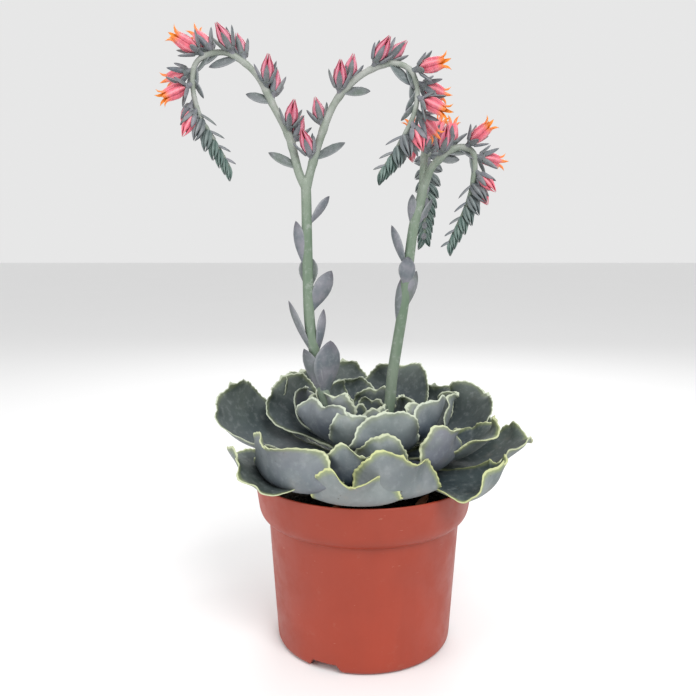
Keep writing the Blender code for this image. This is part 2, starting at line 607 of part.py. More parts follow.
def make_bloom(name, base, way, stage, grow=0.0):
    """One corolla: a five-sided urn of keeled petals, whose tips meet in a point, or flare in an open flower."""
    length, radius, spread, _, _ = BLOOM_SHAPES[stage]
    length, radius = length + grow, radius + grow
    count = 2 * PETALS

    def ring(share, scale):
        """Keels and seams of the five petals at one height."""
        radii = [radius * scale, 0.80 * radius * scale] * PETALS
        return ring_of(base + way * (length * share - grow), way, radii)

    points = ring(0.0, 0.50)[::2] + ring(0.34, 1.0)
    faces = [(4, 3, 2, 1, 0)]
    for p in range(PETALS):
        n, keel = (p + 1) % PETALS, 5 + 2 * p
        faces += [(p, n, keel + 1), (keel, p, keel + 1), (n, 5 + 2 * n, keel + 1)]
    if not spread:
        points.append(base + way * length)
        faces += [(5 + i, 5 + (i + 1) % count, 15) for i in range(count)]
        return mesh_object(name, points, faces, "petal")
    points += ring(0.78, 0.74)
    for i in range(count):
        j = (i + 1) % count
        faces += [(5 + i, 5 + j, 15 + j), (5 + i, 15 + j, 15 + i)]
    points += ring_of(base + way * length, way, [radius * spread] * PETALS) + [base + way * length * 0.58]
    for p in range(PETALS):
        crest, left, right, tip = 15 + 2 * p, 15 + (2 * p - 1) % count, 15 + 2 * p + 1, 25 + p
        faces += [(left, crest, tip), (crest, right, tip), (right, 30, tip), (30, left, tip)]
    return mesh_object(name, points, faces, "petal")


def make_calyx(root, base, way, stage):
    """Pedicel, receptacle and five spreading sepals as one closed solid, whose root is sunk in the arm."""
    _, radius, _, _, sepal = BLOOM_SHAPES[stage]
    seat = base - way * SEAT_GAP
    first, second = petal_frame(way)
    half = math.pi / PETALS

    def spot(angle, r, height):
        """A point round the flower's axis, measured from its seat."""
        return seat + way * height + r * (math.cos(angle) * first + math.sin(angle) * second)

    seams = [2 * half * p for p in range(PETALS)]
    points = [root + (spot(a, 0.0009, 0) - seat) for a in seams]
    points += [spot(a, 0.0011, -0.0016) for a in seams]
    points += [spot(a, 0.78 * radius, -0.0004) for a in seams]
    points += [spot(a + half, 0.56 * radius, 0) for a in seams]
    faces = [(4, 3, 2, 1, 0), (15, 16, 17, 18, 19)]
    for p in range(PETALS):
        n = (p + 1) % PETALS
        for low in (0, PETALS):
            high = low + PETALS
            faces += [(low + p, low + n, high + n), (low + p, high + n, high + p)]
        faces.append((15 + (p - 1) % PETALS, 10 + p, 15 + p))
        left, right, inner = 10 + p, 10 + n, 15 + p
        wide = len(points)
        faces += [(left, right, wide + 1), (left, wide + 1, wide), (wide, wide + 1, wide + 2),
                  (inner, left, wide), (inner, wide, wide + 2), (right, inner, wide + 1),
                  (inner, wide + 2, wide + 1)]
        middle, belly = seams[p] + half, 1.08 * radius + 0.0011
        points += [spot(middle - SEPAL_HALF / belly, belly, 0.46 * sepal),
                   spot(middle + SEPAL_HALF / belly, belly, 0.46 * sepal),
                   spot(middle, SEPAL_SPREAD[stage], 0.96 * sepal)]
    return mesh_object("calyx", points, faces, "stalk")


def bud_solids(arm, frames, first_distance, end):
    """Green buds in two rows, smaller and closer towards the tip: three-sided spindles, some with a bract."""
    pieces = []
    distance, k = first_distance, 0
    while distance < end:
        young = (distance - first_distance) / (end - first_distance)
        size = 1.0 - 0.42 * young
        side = BUD_SIDE_DEG if k % 2 else -BUD_SIDE_DEG
        place, way, out = bloom_axis(arm, distance, side, 36.0 + 24.0 * young, frames)
        length, radius = BUD_LENGTH * size, BUD_RADIUS * size
        rings = [ring_of(place, way, [0.40 * radius] * 3),
                 ring_of(place + way * 0.45 * length, way, [radius] * 3)]
        pieces.append(lofted("bud", rings, place + way * length, "stalk"))
        if k % 3 == 0:
            _, along = at_distance(*frames, distance)
            pieces.append(blade("bract", place, unit(0.72 * along - 0.62 * out), out, 0.0105 * size, 0.0032,
                                0.0011, 0.1, ((0.0, 0.6), (0.45, 1.0)), "stalk"))
        distance += BUD_SPACING * (1.15 - 0.40 * young)
        k += 1
    return pieces


def stalk_bract(route, row):
    """One fleshy bract on a stalk, from its height, azimuth, length, width, lean from upright and own turn."""
    height, azimuth, length, width, lean, turn = row
    k = int(np.argmin(np.abs(route[:, 2] - height / 1000)))
    a, lean, turn = math.radians(azimuth), math.radians(lean), math.radians(turn)
    out = np.array([math.cos(a), math.sin(a), 0.0])
    way = out * math.sin(lean) + np.array([0, 0, 1]) * math.cos(lean)
    face = np.cross(way, np.cross(-out, way))
    face = face * math.cos(turn) + np.cross(way, face) * math.sin(turn)
    return blade("bract", route[k] + out * 0.0012, way, face, length / 1000, width / 1000, 0.0018, 0.10,
                 ((0.0, 0.30), (0.22, 0.60), (0.55, 1.0), (0.82, 0.66)), "stalk")


def make_arm(arm, points, blooms):
    """One arching arm with its buds, bracts and calyces. Adds each corolla to blooms."""
    frames = arm_frames(points)
    route, run, _ = frames
    radii = ARM_FOOT_RADIUS + (ARM_TIP_RADIUS - ARM_FOOT_RADIUS) * (run / run[-1]) ** 0.8
    pieces = [tube(f"arm_{arm}", route, radii, 1, "stalk")]
    for k, (distance, stage) in enumerate(BLOOMS[arm]):
        lean = BLOOM_SHAPES[stage][3]
        side = SIDE_DEG if k % 2 else -SIDE_DEG
        place, way, out = bloom_axis(arm, distance / 1000, side, lean, frames)
        base = place + way * (PEDICEL + 0.0020)
        pieces.append(make_calyx(place, base, way, stage))
        blooms.append((f"bloom_{arm.lower()}{k + 1:02d}", base, way, stage))
        if stage != "open":
            continue
        below, along = at_distance(*frames, distance / 1000 - BRACT_DROP)
        pieces.append(blade("bract", below, unit(0.75 * along - 0.6 * out), out, 0.0115, 0.0034,
                            0.0011, 0.1, ((0.0, 0.6), (0.45, 1.0)), "stalk"))
    for distance, length in ARM_BRACTS[arm]:
        place, along = at_distance(*frames, distance)
        out = unit(np.cross(along, unit(ARM_FACES[arm])))
        face = out + BRACT_TURN * FRONT
        pieces.append(blade("bract", place, unit(0.62 * along - 0.78 * out), face, length, 0.0064,
                            0.0014, 0.12, ((0.0, 0.5), (0.35, 0.9), (0.65, 0.9)), "stalk"))
    last = BLOOMS[arm][-1][0] / 1000 + 0.003
    return pieces + bud_solids(arm, frames, last, run[-1] - 0.0005)


def make_stalk(name, points, bracts, arms, blooms):
    """A stalk with its bracts, and its two arms fused to its top."""
    route, run = smooth_route(points, 0.011)
    radii = STALK_FOOT_RADIUS + (STALK_TOP_RADIUS - STALK_FOOT_RADIUS) * run / run[-1]
    stalk = tube(name, route, radii, 2, "stalk")
    pieces = [stalk_bract(route, row) for row in bracts]
    grown = []
    for arm, arm_points in arms:
        pieces += make_arm(arm, arm_points, grown)
    boolean(stalk, pieces, "UNION")
    clear = [make_bloom("clear", base, way, stage, grow=0.8 * SEAT_GAP) for _, base, way, stage in grown]
    boolean(stalk, clear, "DIFFERENCE")
    shade_round(stalk)
    blooms += grown
    return stalk


def stalk_hole(points):
    """The tool that opens a socket for a stalk in the heart of the rosette, one clearance wider all round."""
    route, run = smooth_route(points[:5], 0.011)
    route[0] += CLEARANCE * unit(route[0] - route[1])
    return tube("socket", route, np.full(len(route), STALK_FOOT_RADIUS + CLEARANCE), 2, "leaf")


def main():
    """Builds the pot, the soil, the rosette, the two stalks and their flowers."""
    clear_scene()
    make_pot()
    make_soil()
    make_rosette([stalk_hole(LEFT_STALK), stalk_hole(RIGHT_STALK)])
    blooms = []
    make_stalk("stalk_left", LEFT_STALK, LEFT_BRACTS, (("A", ARM_A), ("B", ARM_B)), blooms)
    make_stalk("stalk_right", RIGHT_STALK, RIGHT_BRACTS, (("C", ARM_C), ("D", ARM_D)), blooms)
    for name, base, way, stage in blooms:
        make_bloom(name, base, way, stage)


main()
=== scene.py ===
"""A potted echeveria in flower, dressed with fine leaves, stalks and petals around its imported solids."""

import math

import bpy
import numpy as np
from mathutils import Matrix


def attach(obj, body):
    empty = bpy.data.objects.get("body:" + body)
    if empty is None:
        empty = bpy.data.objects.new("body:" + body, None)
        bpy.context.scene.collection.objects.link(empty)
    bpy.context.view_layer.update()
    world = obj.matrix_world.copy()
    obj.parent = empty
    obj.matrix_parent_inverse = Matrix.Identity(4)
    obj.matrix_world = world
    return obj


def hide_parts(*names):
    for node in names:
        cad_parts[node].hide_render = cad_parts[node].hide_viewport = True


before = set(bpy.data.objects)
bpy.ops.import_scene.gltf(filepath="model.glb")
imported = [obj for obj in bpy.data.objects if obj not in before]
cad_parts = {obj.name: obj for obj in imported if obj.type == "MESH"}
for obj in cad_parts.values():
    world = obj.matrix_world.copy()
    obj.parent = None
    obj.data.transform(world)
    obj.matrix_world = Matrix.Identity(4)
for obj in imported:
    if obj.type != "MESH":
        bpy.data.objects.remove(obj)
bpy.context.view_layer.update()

bl_info = {
    "name": "Potted Echeveria",
    "version": (1, 0, 0),
    "blender": (4, 5, 0),
    "location": "3D View > Sidebar > Echeveria",
    "description": "Builds a frilled echeveria in flower in its nursery pot",
    "category": "Add Mesh",
}

# Pot, as in the solids
POT_HEIGHT = 0.0930
POT_WALL = 0.0012
RIM_RADIUS = 0.0600
COLLAR_LOW_RADIUS = 0.0578
COLLAR_LOW_Z = 0.0765
COLLAR_STEP_Z = 0.0702
BODY_TOP_RADIUS = 0.0526
BODY_LOW_RADIUS = 0.0484
FOOT_CORNER = 0.0042
DRAIN_AZIMUTHS = (-116.0, 4.0, 124.0)
DRAIN_WIDTH = 0.0190
DRAIN_HEIGHT = 0.0048
DRAIN_DEPTH = 0.0120
SOIL_TOP_Z = 0.0850

# Rosette leaves, as in the solids: azimuth, reach and tip height in mm, width in mm, slope of the end, curl, twist
OUTER_LEAVES = ((-96, 70, 114, 46, 62, 0, 0), (-145, 82, 112, 48, 32, 0, -25),
                (-36, 83, 113, 44, 58, 0, 13), (1, 93, 115, 38, 34, 4, 0), (166, 80, 138, 46, 66, 3, -30),
                (28, 80, 123, 40, 55, 3, 0), (71, 78, 122, 42, 60, 0, 0), (111, 78, 122, 42, 60, 4, 0),
                (142, 78, 123, 40, 60, 0, 0))
SECOND_LEAVES = ((-76, 66, 122, 48, 74, 0, 0), (-130, 69, 127, 60, 78, 0, 0), (-18, 74, 126, 42, 42, 6, 0),
                 (144, 58, 141, 38, 70, 0, -25), (-92, 58, 124, 42, 80, 0, 0), (17, 73, 137, 44, 62, 0, 20),
                 (46, 66, 135, 40, 70, 0, 0), (101, 64, 147, 36, 74, 0, 0), (127, 62, 145, 38, 74, 3, 0))
THIRD_LEAVES = ((-76, 47, 137, 40, 84, 0, 0), (-45, 58, 130, 36, 78, 0, 0), (-82, 53, 127, 30, 84, 0, 0),
                (146, 42, 137, 30, 80, 4, 0), (63, 50, 149, 50, 78, 0, 0), (102, 37, 140, 38, 80, -3, 0),
                (-131, 36, 141, 38, 80, 3, 0), (9, 50, 137, 36, 74, 0, -15))
FOURTH_LEAVES = ((-138, 21, 142, 24, 82, 4, 0), (-100, 37, 135, 28, 84, 0, 0), (-30, 42, 140, 42, 80, 3, 0),
                 (75, 27, 137, 28, 84, 0, 0), (-43, 32, 136, 26, 82, 0, 0), (130, 30, 141, 28, 82, 3, 0),
                 (34, 28, 133, 26, 82, 0, 0), (153, 33, 135, 28, 82, -3, 0))
# Leaves with an edge of their own, counted from the outermost: where the dip in the outline of the end lies, as a
# share of half the width, its depth in mm, and the phase of the waves
LEAF_EDGES = {0: (-0.05, 6.0, -1.57), 2: (0.3, 0.0, 2.6), 4: (-0.2, 0.0, 1.6), 9: (0.22, 4.0, -1.9),
              10: (-0.1, 3.0, -1.3), 11: (0.1, 3.0, 1.0), 12: (0.3, 2.0, 4.4), 13: (0.0, 5.0, -1.57),
              18: (0.0, 0.0, 3.2), 19: (0.1, 3.0, 4.2), 20: (-0.1, 2.0, 0.8), 21: (0.0, 2.0, 0.6),
              23: (0.0, 2.0, 1.0), 24: (0.2, 3.0, 2.4), 28: (0.0, 2.0, 3.0)}
PLAIN_DIP = (0.0, 2.5)
PLAIN_PHASE_STEP = 1.7
DIP_SHARE = 0.26
# Shares of the length between which a leaf turns up: most do so slowly, a few leaves in front more sharply
PLAIN_BEND = (0.50, 0.84)
LEAF_BENDS = {0: (0.62, 0.84), 2: (0.68, 0.88), 9: (0.59, 0.78), 10: (0.59, 0.78), 13: (0.60, 0.80),
              18: (0.60, 0.80)}
HEART_LEAVES = 7
HEART_TURN_DEG = 137.5
HEART_START_DEG = 20.0
LEAF_BASE_RADIUS = 0.0050
LEAF_NECK_SHARE = 0.30
LEAF_THICK_BASE = 0.0040
LEAF_THICK_BLADE = 0.0020
LEAF_CUP_RADIUS = 0.044
END_SHARE = 0.62
END_LENGTH_SHARE = 0.52
RIB_END_SHARE = 0.50
FRILL_HEIGHT = 0.0032
LOBE_SHARE = 0.07
STEM_PROFILE = ((0.0052, 0.0480), (0.0070, 0.0840), (0.0100, 0.0930), (0.0125, 0.1010), (0.0105, 0.1100),
                (0.0050, 0.1170))

# Pieces of the rosette: name, leaves, height of the leaf bases, columns along half an edge
LEAF_GROUPS = (("leaves_outer", OUTER_LEAVES, 0.0985, 110), ("leaves_second", SECOND_LEAVES, 0.1010, 100),
               ("leaves_third", THIRD_LEAVES, 0.1040, 84), ("leaves_fourth", FOURTH_LEAVES, 0.1070, 64))
LEAF_ROWS = (0.0, 0.13, 0.26, 0.38, 0.50, 0.60, 0.70, 0.78, 0.85, 0.905, 0.945, 0.972, 0.99, 1.0)
# Leaves with a finish of their own, counted from the outermost: how much painted shade in dark blue lies on the base,
# how purple, how speckled and ripe
LEAF_TONES = {0: (0.0, 0.1, 1.0), 1: (0.0, 0.1, 0.5), 2: (0.2, 0.0, 0.9), 3: (0.1, 0.0, 0.5), 9: (0.0, 0.3, 1.0),
              10: (0.25, 0.5, 0.6), 11: (0.25, 0.0, 0.7), 13: (1.0, 0.2, 0.5), 18: (0.55, 0.0, 0.1),
              19: (0.35, 0.8, 0.5), 20: (0.3, 0.2, 0.4), 21: (0.3, 0.6, 0.0), 23: (0.6, 0.1, 0.0),
              24: (0.45, 0.5, 0.0), 28: (0.85, 0.2, 0.0), 27: (0.1, 0.0, 0.0)}
PLAIN_TONE = (0.15, 0.1, 0.15)

# Stalks and arms, as in the solids
LEFT_STALK = ((-0.0075, -0.0040, 0.1080), (-0.0140, -0.0065, 0.1200), (-0.0204, -0.0080, 0.1350),
              (-0.0264, -0.0080, 0.1610), (-0.0292, -0.0080, 0.1800), (-0.0300, -0.0080, 0.2120),
              (-0.0304, -0.0080, 0.2440), (-0.0310, -0.0080, 0.2520))
ARM_A = ((-0.0305, -0.0080, 0.2470), (-0.0345, -0.0080, 0.2560), (-0.0390, -0.0080, 0.2730),
         (-0.0472, -0.0090, 0.2892), (-0.0540, -0.0100, 0.3021), (-0.0623, -0.0100, 0.3102),
         (-0.0724, -0.0100, 0.3145), (-0.0848, -0.0100, 0.3102), (-0.0874, -0.0100, 0.2977),
         (-0.0846, -0.0090, 0.2843), (-0.0793, -0.0070, 0.2744), (-0.0745, -0.0050, 0.2657),
         (-0.0709, -0.0040, 0.2586))
ARM_B = ((-0.0303, -0.0080, 0.2470), (-0.0275, -0.0085, 0.2580), (-0.0230, -0.0100, 0.2720),
         (-0.0161, -0.0120, 0.2883), (-0.0069, -0.0140, 0.2988), (0.0033, -0.0155, 0.3052),
         (0.0142, -0.0170, 0.3075), (0.0226, -0.0180, 0.3035), (0.0256, -0.0180, 0.2924),
         (0.0235, -0.0180, 0.2813), (0.0180, -0.0160, 0.2704), (0.0122, -0.0150, 0.2610),
         (0.0077, -0.0150, 0.2547))
RIGHT_STALK = ((0.0085, 0.0035, 0.1080), (0.0122, 0.0040, 0.1200), (0.0145, 0.0040, 0.1320),
               (0.0161, 0.0040, 0.1494), (0.0212, 0.0040, 0.1831), (0.0236, 0.0040, 0.2039),
               (0.0265, 0.0040, 0.2275), (0.0302, 0.0040, 0.2420), (0.0315, 0.0040, 0.2500))
ARM_C = ((0.0308, 0.0040, 0.2460), (0.0353, 0.0035, 0.2581), (0.0400, 0.0030, 0.2635), (0.0446, 0.0030, 0.2675),
         (0.0515, 0.0030, 0.2695), (0.0574, 0.0030, 0.2665), (0.0583, 0.0030, 0.2567), (0.0567, 0.0030, 0.2462),
         (0.0532, 0.0030, 0.2355), (0.0490, 0.0030, 0.2265), (0.0459, 0.0030, 0.2194))
ARM_D = ((0.0312, 0.0040, 0.2460), (0.0319, 0.0080, 0.2600), (0.0333, 0.0180, 0.2690), (0.0355, 0.0300, 0.2740),
         (0.0378, 0.0420, 0.2715), (0.0385, 0.0490, 0.2640), (0.0383, 0.0510, 0.2530), (0.0377, 0.0500, 0.2419),
         (0.0369, 0.0475, 0.2310), (0.0363, 0.0455, 0.2225))
STALK_RADII = (0.0032, 0.0026)
ARM_RADII = (0.0024, 0.0009)
LEFT_BRACTS = ((137, -50, 30, 18, 14, 0), (139, -162, 27, 15, 27, 20), (166, 180, 31, 8, 30, 25),
               (161, 0, 24, 8.5, 14, -28), (186, -10, 24, 10.5, 30, -55), (199, 80, 18, 10.5, 6, 0),
               (209, -175, 25, 9, 16, 42), (229, 5, 18, 8, 42, -28))
RIGHT_BRACTS = ((171, 182, 27, 8, 2, 30), (179, -5, 21, 9, 21, -40), (195, -80, 17, 9.5, 14, 0),
                (208, 180, 24, 8, 25, 28), (231, 186, 17, 7, 4, 35), (230, 5, 17, 6, 37, -25))
ARM_BRACTS = {"a": ((0.012, 0.0165), (0.047, 0.0135), (0.075, 0.0150)),
              "b": ((0.016, 0.0180), (0.052, 0.0140), (0.080, 0.0150)),
              "c": ((0.020, 0.0105),), "d": ((0.020, 0.0105),)}
BLOOMS = {"a": ((23, "spent"), (29, "spent"), (47, "spent"), (53, "spent"), (70, "spent"), (76, "spent"),
                (87, "open"), (92, "open"), (101, "open"), (108, "open"), (115, "bud"), (120, "bud")),
          "b": ((14, "spent"), (31, "spent"), (49, "spent"), (55, "spent"), (70, "spent"), (76, "spent"),
                (91, "open"), (97, "open"), (104, "open"), (110, "open"), (116, "bud"), (121, "bud")),
          "c": ((20, "spent"), (27, "open"), (35, "open"), (42, "open"), (49, "bud"), (54, "bud")),
          "d": ((22, "spent"), (30, "open"), (38, "open"), (46, "bud"), (53, "bud"))}
ARM_FACES = {"a": (0.0, -1.0, 0.0), "b": (0.0, 1.0, 0.0), "c": (0.0, 1.0, 0.0), "d": (-1.0, 0.15, 0.0)}
ARMS = {"a": ARM_A, "b": ARM_B, "c": ARM_C, "d": ARM_D}
STALKS = {"left": (LEFT_STALK, LEFT_BRACTS, "ab"), "right": (RIGHT_STALK, RIGHT_BRACTS, "cd")}
# Flowers by stage: length, widest radius, lean of the axis along the arm, sepal length, sepal tilt from the axis
STAGES = {"spent": (0.0130, 0.0037, 50.0, 0.0094, 26.0), "open": (0.0145, 0.0040, 28.0, 0.0088, 38.0),
          "bud": (0.0122, 0.0035, 44.0, 0.0084, 20.0)}
# Radius of a corolla along its length, as shares of the widest
CORONA = {"spent": ((0.0, 0.14, 0.34, 0.60, 0.82, 0.95, 1.0), (0.50, 0.84, 1.0, 0.78, 0.42, 0.22, 0.16)),
          "open": ((0.0, 0.14, 0.34, 0.60, 0.80, 0.92, 1.0), (0.50, 0.84, 1.0, 0.90, 0.74, 0.95, 1.28)),
          "bud": ((0.0, 0.14, 0.34, 0.60, 0.84, 0.95, 1.0), (0.50, 0.84, 1.0, 0.82, 0.40, 0.16, 0.06))}
BUD_SPACING = 0.0028
BUD_LENGTH = 0.0148
BUD_RADIUS = 0.0036
BUD_SIDE_DEG = 50.0
SIDE_DEG = 32.0
PEDICEL = 0.0034
BRACT_DROP = 0.0026
BRACT_TURN = 0.8
SEAT_GAP = 0.00035
PETALS = 5
FRONT = np.array((0.0, -1.0, 0.0))

# Camera, at the photograph's place
CAMERA_PLACE = (-0.00879, -0.4062, 0.2182)
CAMERA_PITCH_DEG = 7.776
CAMERA_LENS = 38.96


def unit(v):
    """Each vector scaled to length 1."""
    v = np.asarray(v, float)
    return v / np.linalg.norm(v, axis=-1, keepdims=True)


def smooth_route(points, spacing):
    """Points an even distance apart on the Catmull-Rom curve, where each span is a cubic of its four neighbours."""
    p = np.asarray(points, float)
    p = np.vstack([2 * p[0] - p[1], p, 2 * p[-1] - p[-2]])
    a, b, c, d = (p[k:len(p) - 3 + k, None] for k in range(4))
    t = np.linspace(0, 1, 12, endpoint=False)[None, :, None]
    cubic = 2 * b + (c - a) * t + (2 * a - 5 * b + 4 * c - d) * t**2 + (3 * b - a - 3 * c + d) * t**3
    dense = np.vstack([0.5 * cubic.reshape(-1, 3), p[-2:-1]])
    run = np.concatenate([[0], np.cumsum(np.linalg.norm(np.diff(dense, axis=0), axis=1))])
    stops = np.linspace(0, run[-1], max(2, round(run[-1] / spacing)) + 1)
    return np.stack([np.interp(stops, run, dense[:, k]) for k in range(3)], 1), stops


def grid_triangles(index):
    """Two triangles for each cell of a grid of point numbers, less those that a shared point has closed up."""
    a, b, c, d = index[:-1, :-1], index[:-1, 1:], index[1:, 1:], index[1:, :-1]
    both = np.concatenate([np.stack([a, b, c], -1).reshape(-1, 3), np.stack([a, c, d], -1).reshape(-1, 3)])
    kept = (both[:, 0] != both[:, 1]) & (both[:, 1] != both[:, 2]) & (both[:, 0] != both[:, 2])
    return both[kept]


def outward(points, triangles):
    """Triangles of many alike shells, numbered on, each shell turned so that its signed volume is positive."""
    count, size, _ = points.shape
    corner = points[:, triangles] - points.mean(1)[:, None, None]
    volume = np.einsum("ntk,ntk->n", corner[:, :, 0], np.cross(corner[:, :, 1], corner[:, :, 2]))
    every = triangles[None] + (np.arange(count) * size)[:, None, None]
    return np.where((volume < 0)[:, None, None], every[:, :, ::-1], every).reshape(-1, 3)


def shells(rings, root, tip, **values):
    """Closed shells from rings of shape (shell, station, angle, 3), with a pole at the root and one at the tip."""
    count, stations, around, _ = rings.shape
    body = stations * around
    index = np.arange(body).reshape(stations, around)
    index = np.vstack([np.full((1, around), body), index, np.full((1, around), body + 1)])
    index = np.hstack([index, index[:, :1]])
    points = np.concatenate([rings.reshape(count, body, 3), root[:, None], tip[:, None]], 1)
    kept = {}
    for name, value in values.items():
        value = np.broadcast_to(value, rings.shape[:3]).reshape(count, body)
        kept[name] = np.concatenate([value, value[:, :1], value[:, -1:]], 1).ravel()
    return points.reshape(-1, 3), outward(points, grid_triangles(index)), kept


def joined(parts):
    """One mesh from several: their points, their triangles numbered on, and their values."""
    starts = np.cumsum([0] + [len(part[0]) for part in parts[:-1]])
    points = np.concatenate([part[0] for part in parts])
    triangles = np.concatenate([part[1] + start for part, start in zip(parts, starts)])
    names = sorted({name for part in parts for name in part[2]})
    empty = [np.zeros(len(part[0])) for part in parts]
    return points, triangles, {n: np.concatenate([p[2].get(n, e) for p, e in zip(parts, empty)]) for n in names}


def add_piece(name, part, material, slot, *nodes):
    """Makes a mesh object from points, triangles and values, and lets it ride on the plant in place of nodes."""
    points, triangles, values = part
    mesh = bpy.data.meshes.new(name)
    mesh.vertices.add(len(points))
    mesh.vertices.foreach_set("co", points.astype(np.float32).ravel())
    mesh.loops.add(triangles.size)
    mesh.loops.foreach_set("vertex_index", triangles.astype(np.int32).ravel())
    mesh.polygons.add(len(triangles))
    mesh.polygons.foreach_set("loop_start", np.arange(0, triangles.size, 3, dtype=np.int32))
    mesh.update(calc_edges=True)
    mesh.shade_smooth()
    for key, value in values.items():
        mesh.attributes.new(key, "FLOAT", "POINT").data.foreach_set("value", value.astype(np.float32))
    mesh.materials.append(material)
    piece = bpy.data.objects.new(name, mesh)
    bpy.context.scene.collection.objects.link(piece)
    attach(piece, "root")
    if nodes:
        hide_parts(*nodes)
    return piece


def turned(profile, sides, ripple=0.0):
    """A closed surface of revolution of a (radius, height) profile from axis to axis, with a faint ripple."""
    r, z = np.array(profile, float).T
    angle = np.linspace(0, math.tau, sides, endpoint=False)
    wide = r[1:-1, None] * (1 + ripple * np.sin(5 * angle + 90 * z[1:-1, None]))
    rings = np.stack([wide * np.cos(angle), wide * np.sin(angle), np.broadcast_to(z[1:-1, None], wide.shape)], -1)
    poles = [np.array([[0, 0, z[0]]]), np.array([[0, 0, z[-1]]])]
    return rings[None], poles[0], poles[1]


def tube(route, radii, reference, sides=14, **values):
    """A round stem along a route: rings square to it, measured from a reference direction, with domed ends."""
    ways = unit(np.gradient(route, axis=0))
    side = unit(np.cross(ways, reference))
    other = np.cross(ways, side)
    angle = np.linspace(0, math.tau, sides, endpoint=False)[:, None]
    around = side[:, None] * np.cos(angle) + other[:, None] * np.sin(angle)
    ribs = 1 + 0.035 * np.cos(5 * angle[:, 0])
    rings = route[:, None] + around * (radii[:, None] * ribs)[..., None]
    kept = {name: np.broadcast_to(value[:, None], rings.shape[:2])[None] for name, value in values.items()}
    root = route[:1] - ways[:1] * radii[0] * 0.5
    tip = route[-1:] + ways[-1:] * radii[-1] * 0.8
    return shells(rings[None], root, tip, **kept)


def blades(root, way, face, length, width, thick, bend, outline, cup=0.20, stations=16, around=12, tint=0.5):
    """Fleshy pointed leaves as closed shells, a row of each array for each leaf.

    Along t, from 0 at the root to 1 at the tip, the direction turns from way towards the inner face by bend * t,
    and the centre line is its running sum. Round an angle a, the point is offset by half the width times
    outline(t) times cos a to the side, and by the cup, which grows with the square of that, less the
    thickness times sin a, towards the face.
    """
    t = np.linspace(0, 1, stations + 1)
    d = unit(way)
    side = unit(np.cross(d, face))
    inner = np.cross(side, d)
    turn = (np.asarray(bend) * np.ones(len(d)))[:, None] * t
    c, s = np.cos(turn)[..., None], np.sin(turn)[..., None]
    ways = d[:, None] * c + inner[:, None] * s
    normal = inner[:, None] * c - d[:, None] * s
    step = (np.asarray(length) * np.ones(len(d)))[:, None, None] / stations
    centre = root[:, None] + np.concatenate([np.zeros_like(ways[:, :1]), np.cumsum(ways[:, :-1] * step, 1)], 1)
    half = (np.asarray(width) * np.ones(len(d)))[:, None] / 2 * np.interp(t, *outline)
    depth = (np.asarray(thick) * np.ones(len(d)))[:, None] * (0.30 + 0.70 * np.interp(t, *outline)) / 2
    depth = depth * np.sqrt(np.clip((1 - t) * 6, 0, 1))
    angle = np.linspace(0, math.tau, around, endpoint=False)
    x = half[..., None] * np.cos(angle)
    rise = cup * x**2 / np.maximum(half[..., None], 1e-5)
    y = rise - depth[..., None] * (np.sin(angle) + 0.45 * np.clip(np.sin(angle), 0, 1) ** 2)
    rings = centre[:, :, None] + side[:, None, None] * x[..., None] + normal[:, :, None] * y[..., None]
    tints = (np.asarray(tint) * np.ones(len(d)))[:, None, None]
    across = np.broadcast_to(np.abs(np.cos(angle)), x.shape)
    along = np.broadcast_to(t[:, None], x.shape[1:])[None]
    return shells(rings[:, :-1], root, centre[:, -1], along=along[:, :-1], across=across[:, :-1],
                  inner=(np.sin(angle) < -0.1)[None, None] * 1.0, tint=tints)


def axis_frame(way):
    """Two directions square to each flower's axis."""
    first = unit(np.cross(way, (0.31, 0.95, 0.10)))
    return first, np.cross(way, first)


def lobed(base, way, length, radius, profile, keel=0.20, point=0.62, thick=0.00045, across=9, stations=18, turn=0.0,
          **values):
    """Five keeled petals round each axis, each a closed shell.

    At v along the axis and u across the petal, the radius is profile(v) times (1 - keel |u|^1.4), and the angle
    from the petal's middle is 36 degrees times u, narrowing to a point from v = point on. The inner face is one
    thickness nearer the axis.
    """
    count = len(base)
    first, second = axis_frame(way)
    v = np.linspace(0, 1, stations + 1)[:-1]
    u = np.linspace(-1, 1, across)
    narrow = np.clip((1 - v) / (1 - point), 0, 1) ** 0.75
    reach = np.interp(v, *profile)
    outer = reach[:, None] * (1 - keel * np.abs(u) ** 1.4)
    loop_u = np.concatenate([u, u[::-1]])
    inside = np.concatenate([np.zeros(across), np.ones(across)])
    wall = thick / np.asarray(radius).reshape(-1, 1, 1) * np.clip(1.25 - v, 0, 1)[:, None]
    r = np.concatenate([outer, outer[:, ::-1]], 1)[None] - inside * wall
    r = r * np.asarray(radius).reshape(-1, 1, 1) * np.ones((count, 1, 1))
    petal = np.arange(PETALS) * math.tau / PETALS + turn
    angle = petal[:, None, None] + math.pi / PETALS * 1.03 * loop_u * narrow[:, None]
    height = (np.asarray(length) * np.ones(count))[:, None] * v
    axis = base[:, None] + way[:, None] * height[..., None]
    cosine, sine = np.cos(angle)[None, ..., None], np.sin(angle)[None, ..., None]
    spoke = first[:, None, None, None] * cosine + second[:, None, None, None] * sine
    rings = axis[:, None, :, None] + spoke * r[:, None, ..., None]
    rings = rings.reshape(count * PETALS, stations, 2 * across, 3)
    middle = petal[None, :, None]
    end_r = (np.interp(1.0, *profile) * np.asarray(radius) * np.ones(count))[:, None, None]
    out = first[:, None] * np.cos(middle) + second[:, None] * np.sin(middle)
    tip = (base + way * (np.asarray(length) * np.ones(count))[:, None])[:, None] + out * end_r
    kept = {name: np.repeat(np.asarray(value) * np.ones(count), PETALS)[:, None, None] for name, value in values.items()}
    return shells(rings, rings[:, 0].mean(1), tip.reshape(-1, 3), along=v[None, :, None],
                  across=np.abs(loop_u)[None, None], inner=inside[None, None], **kept)


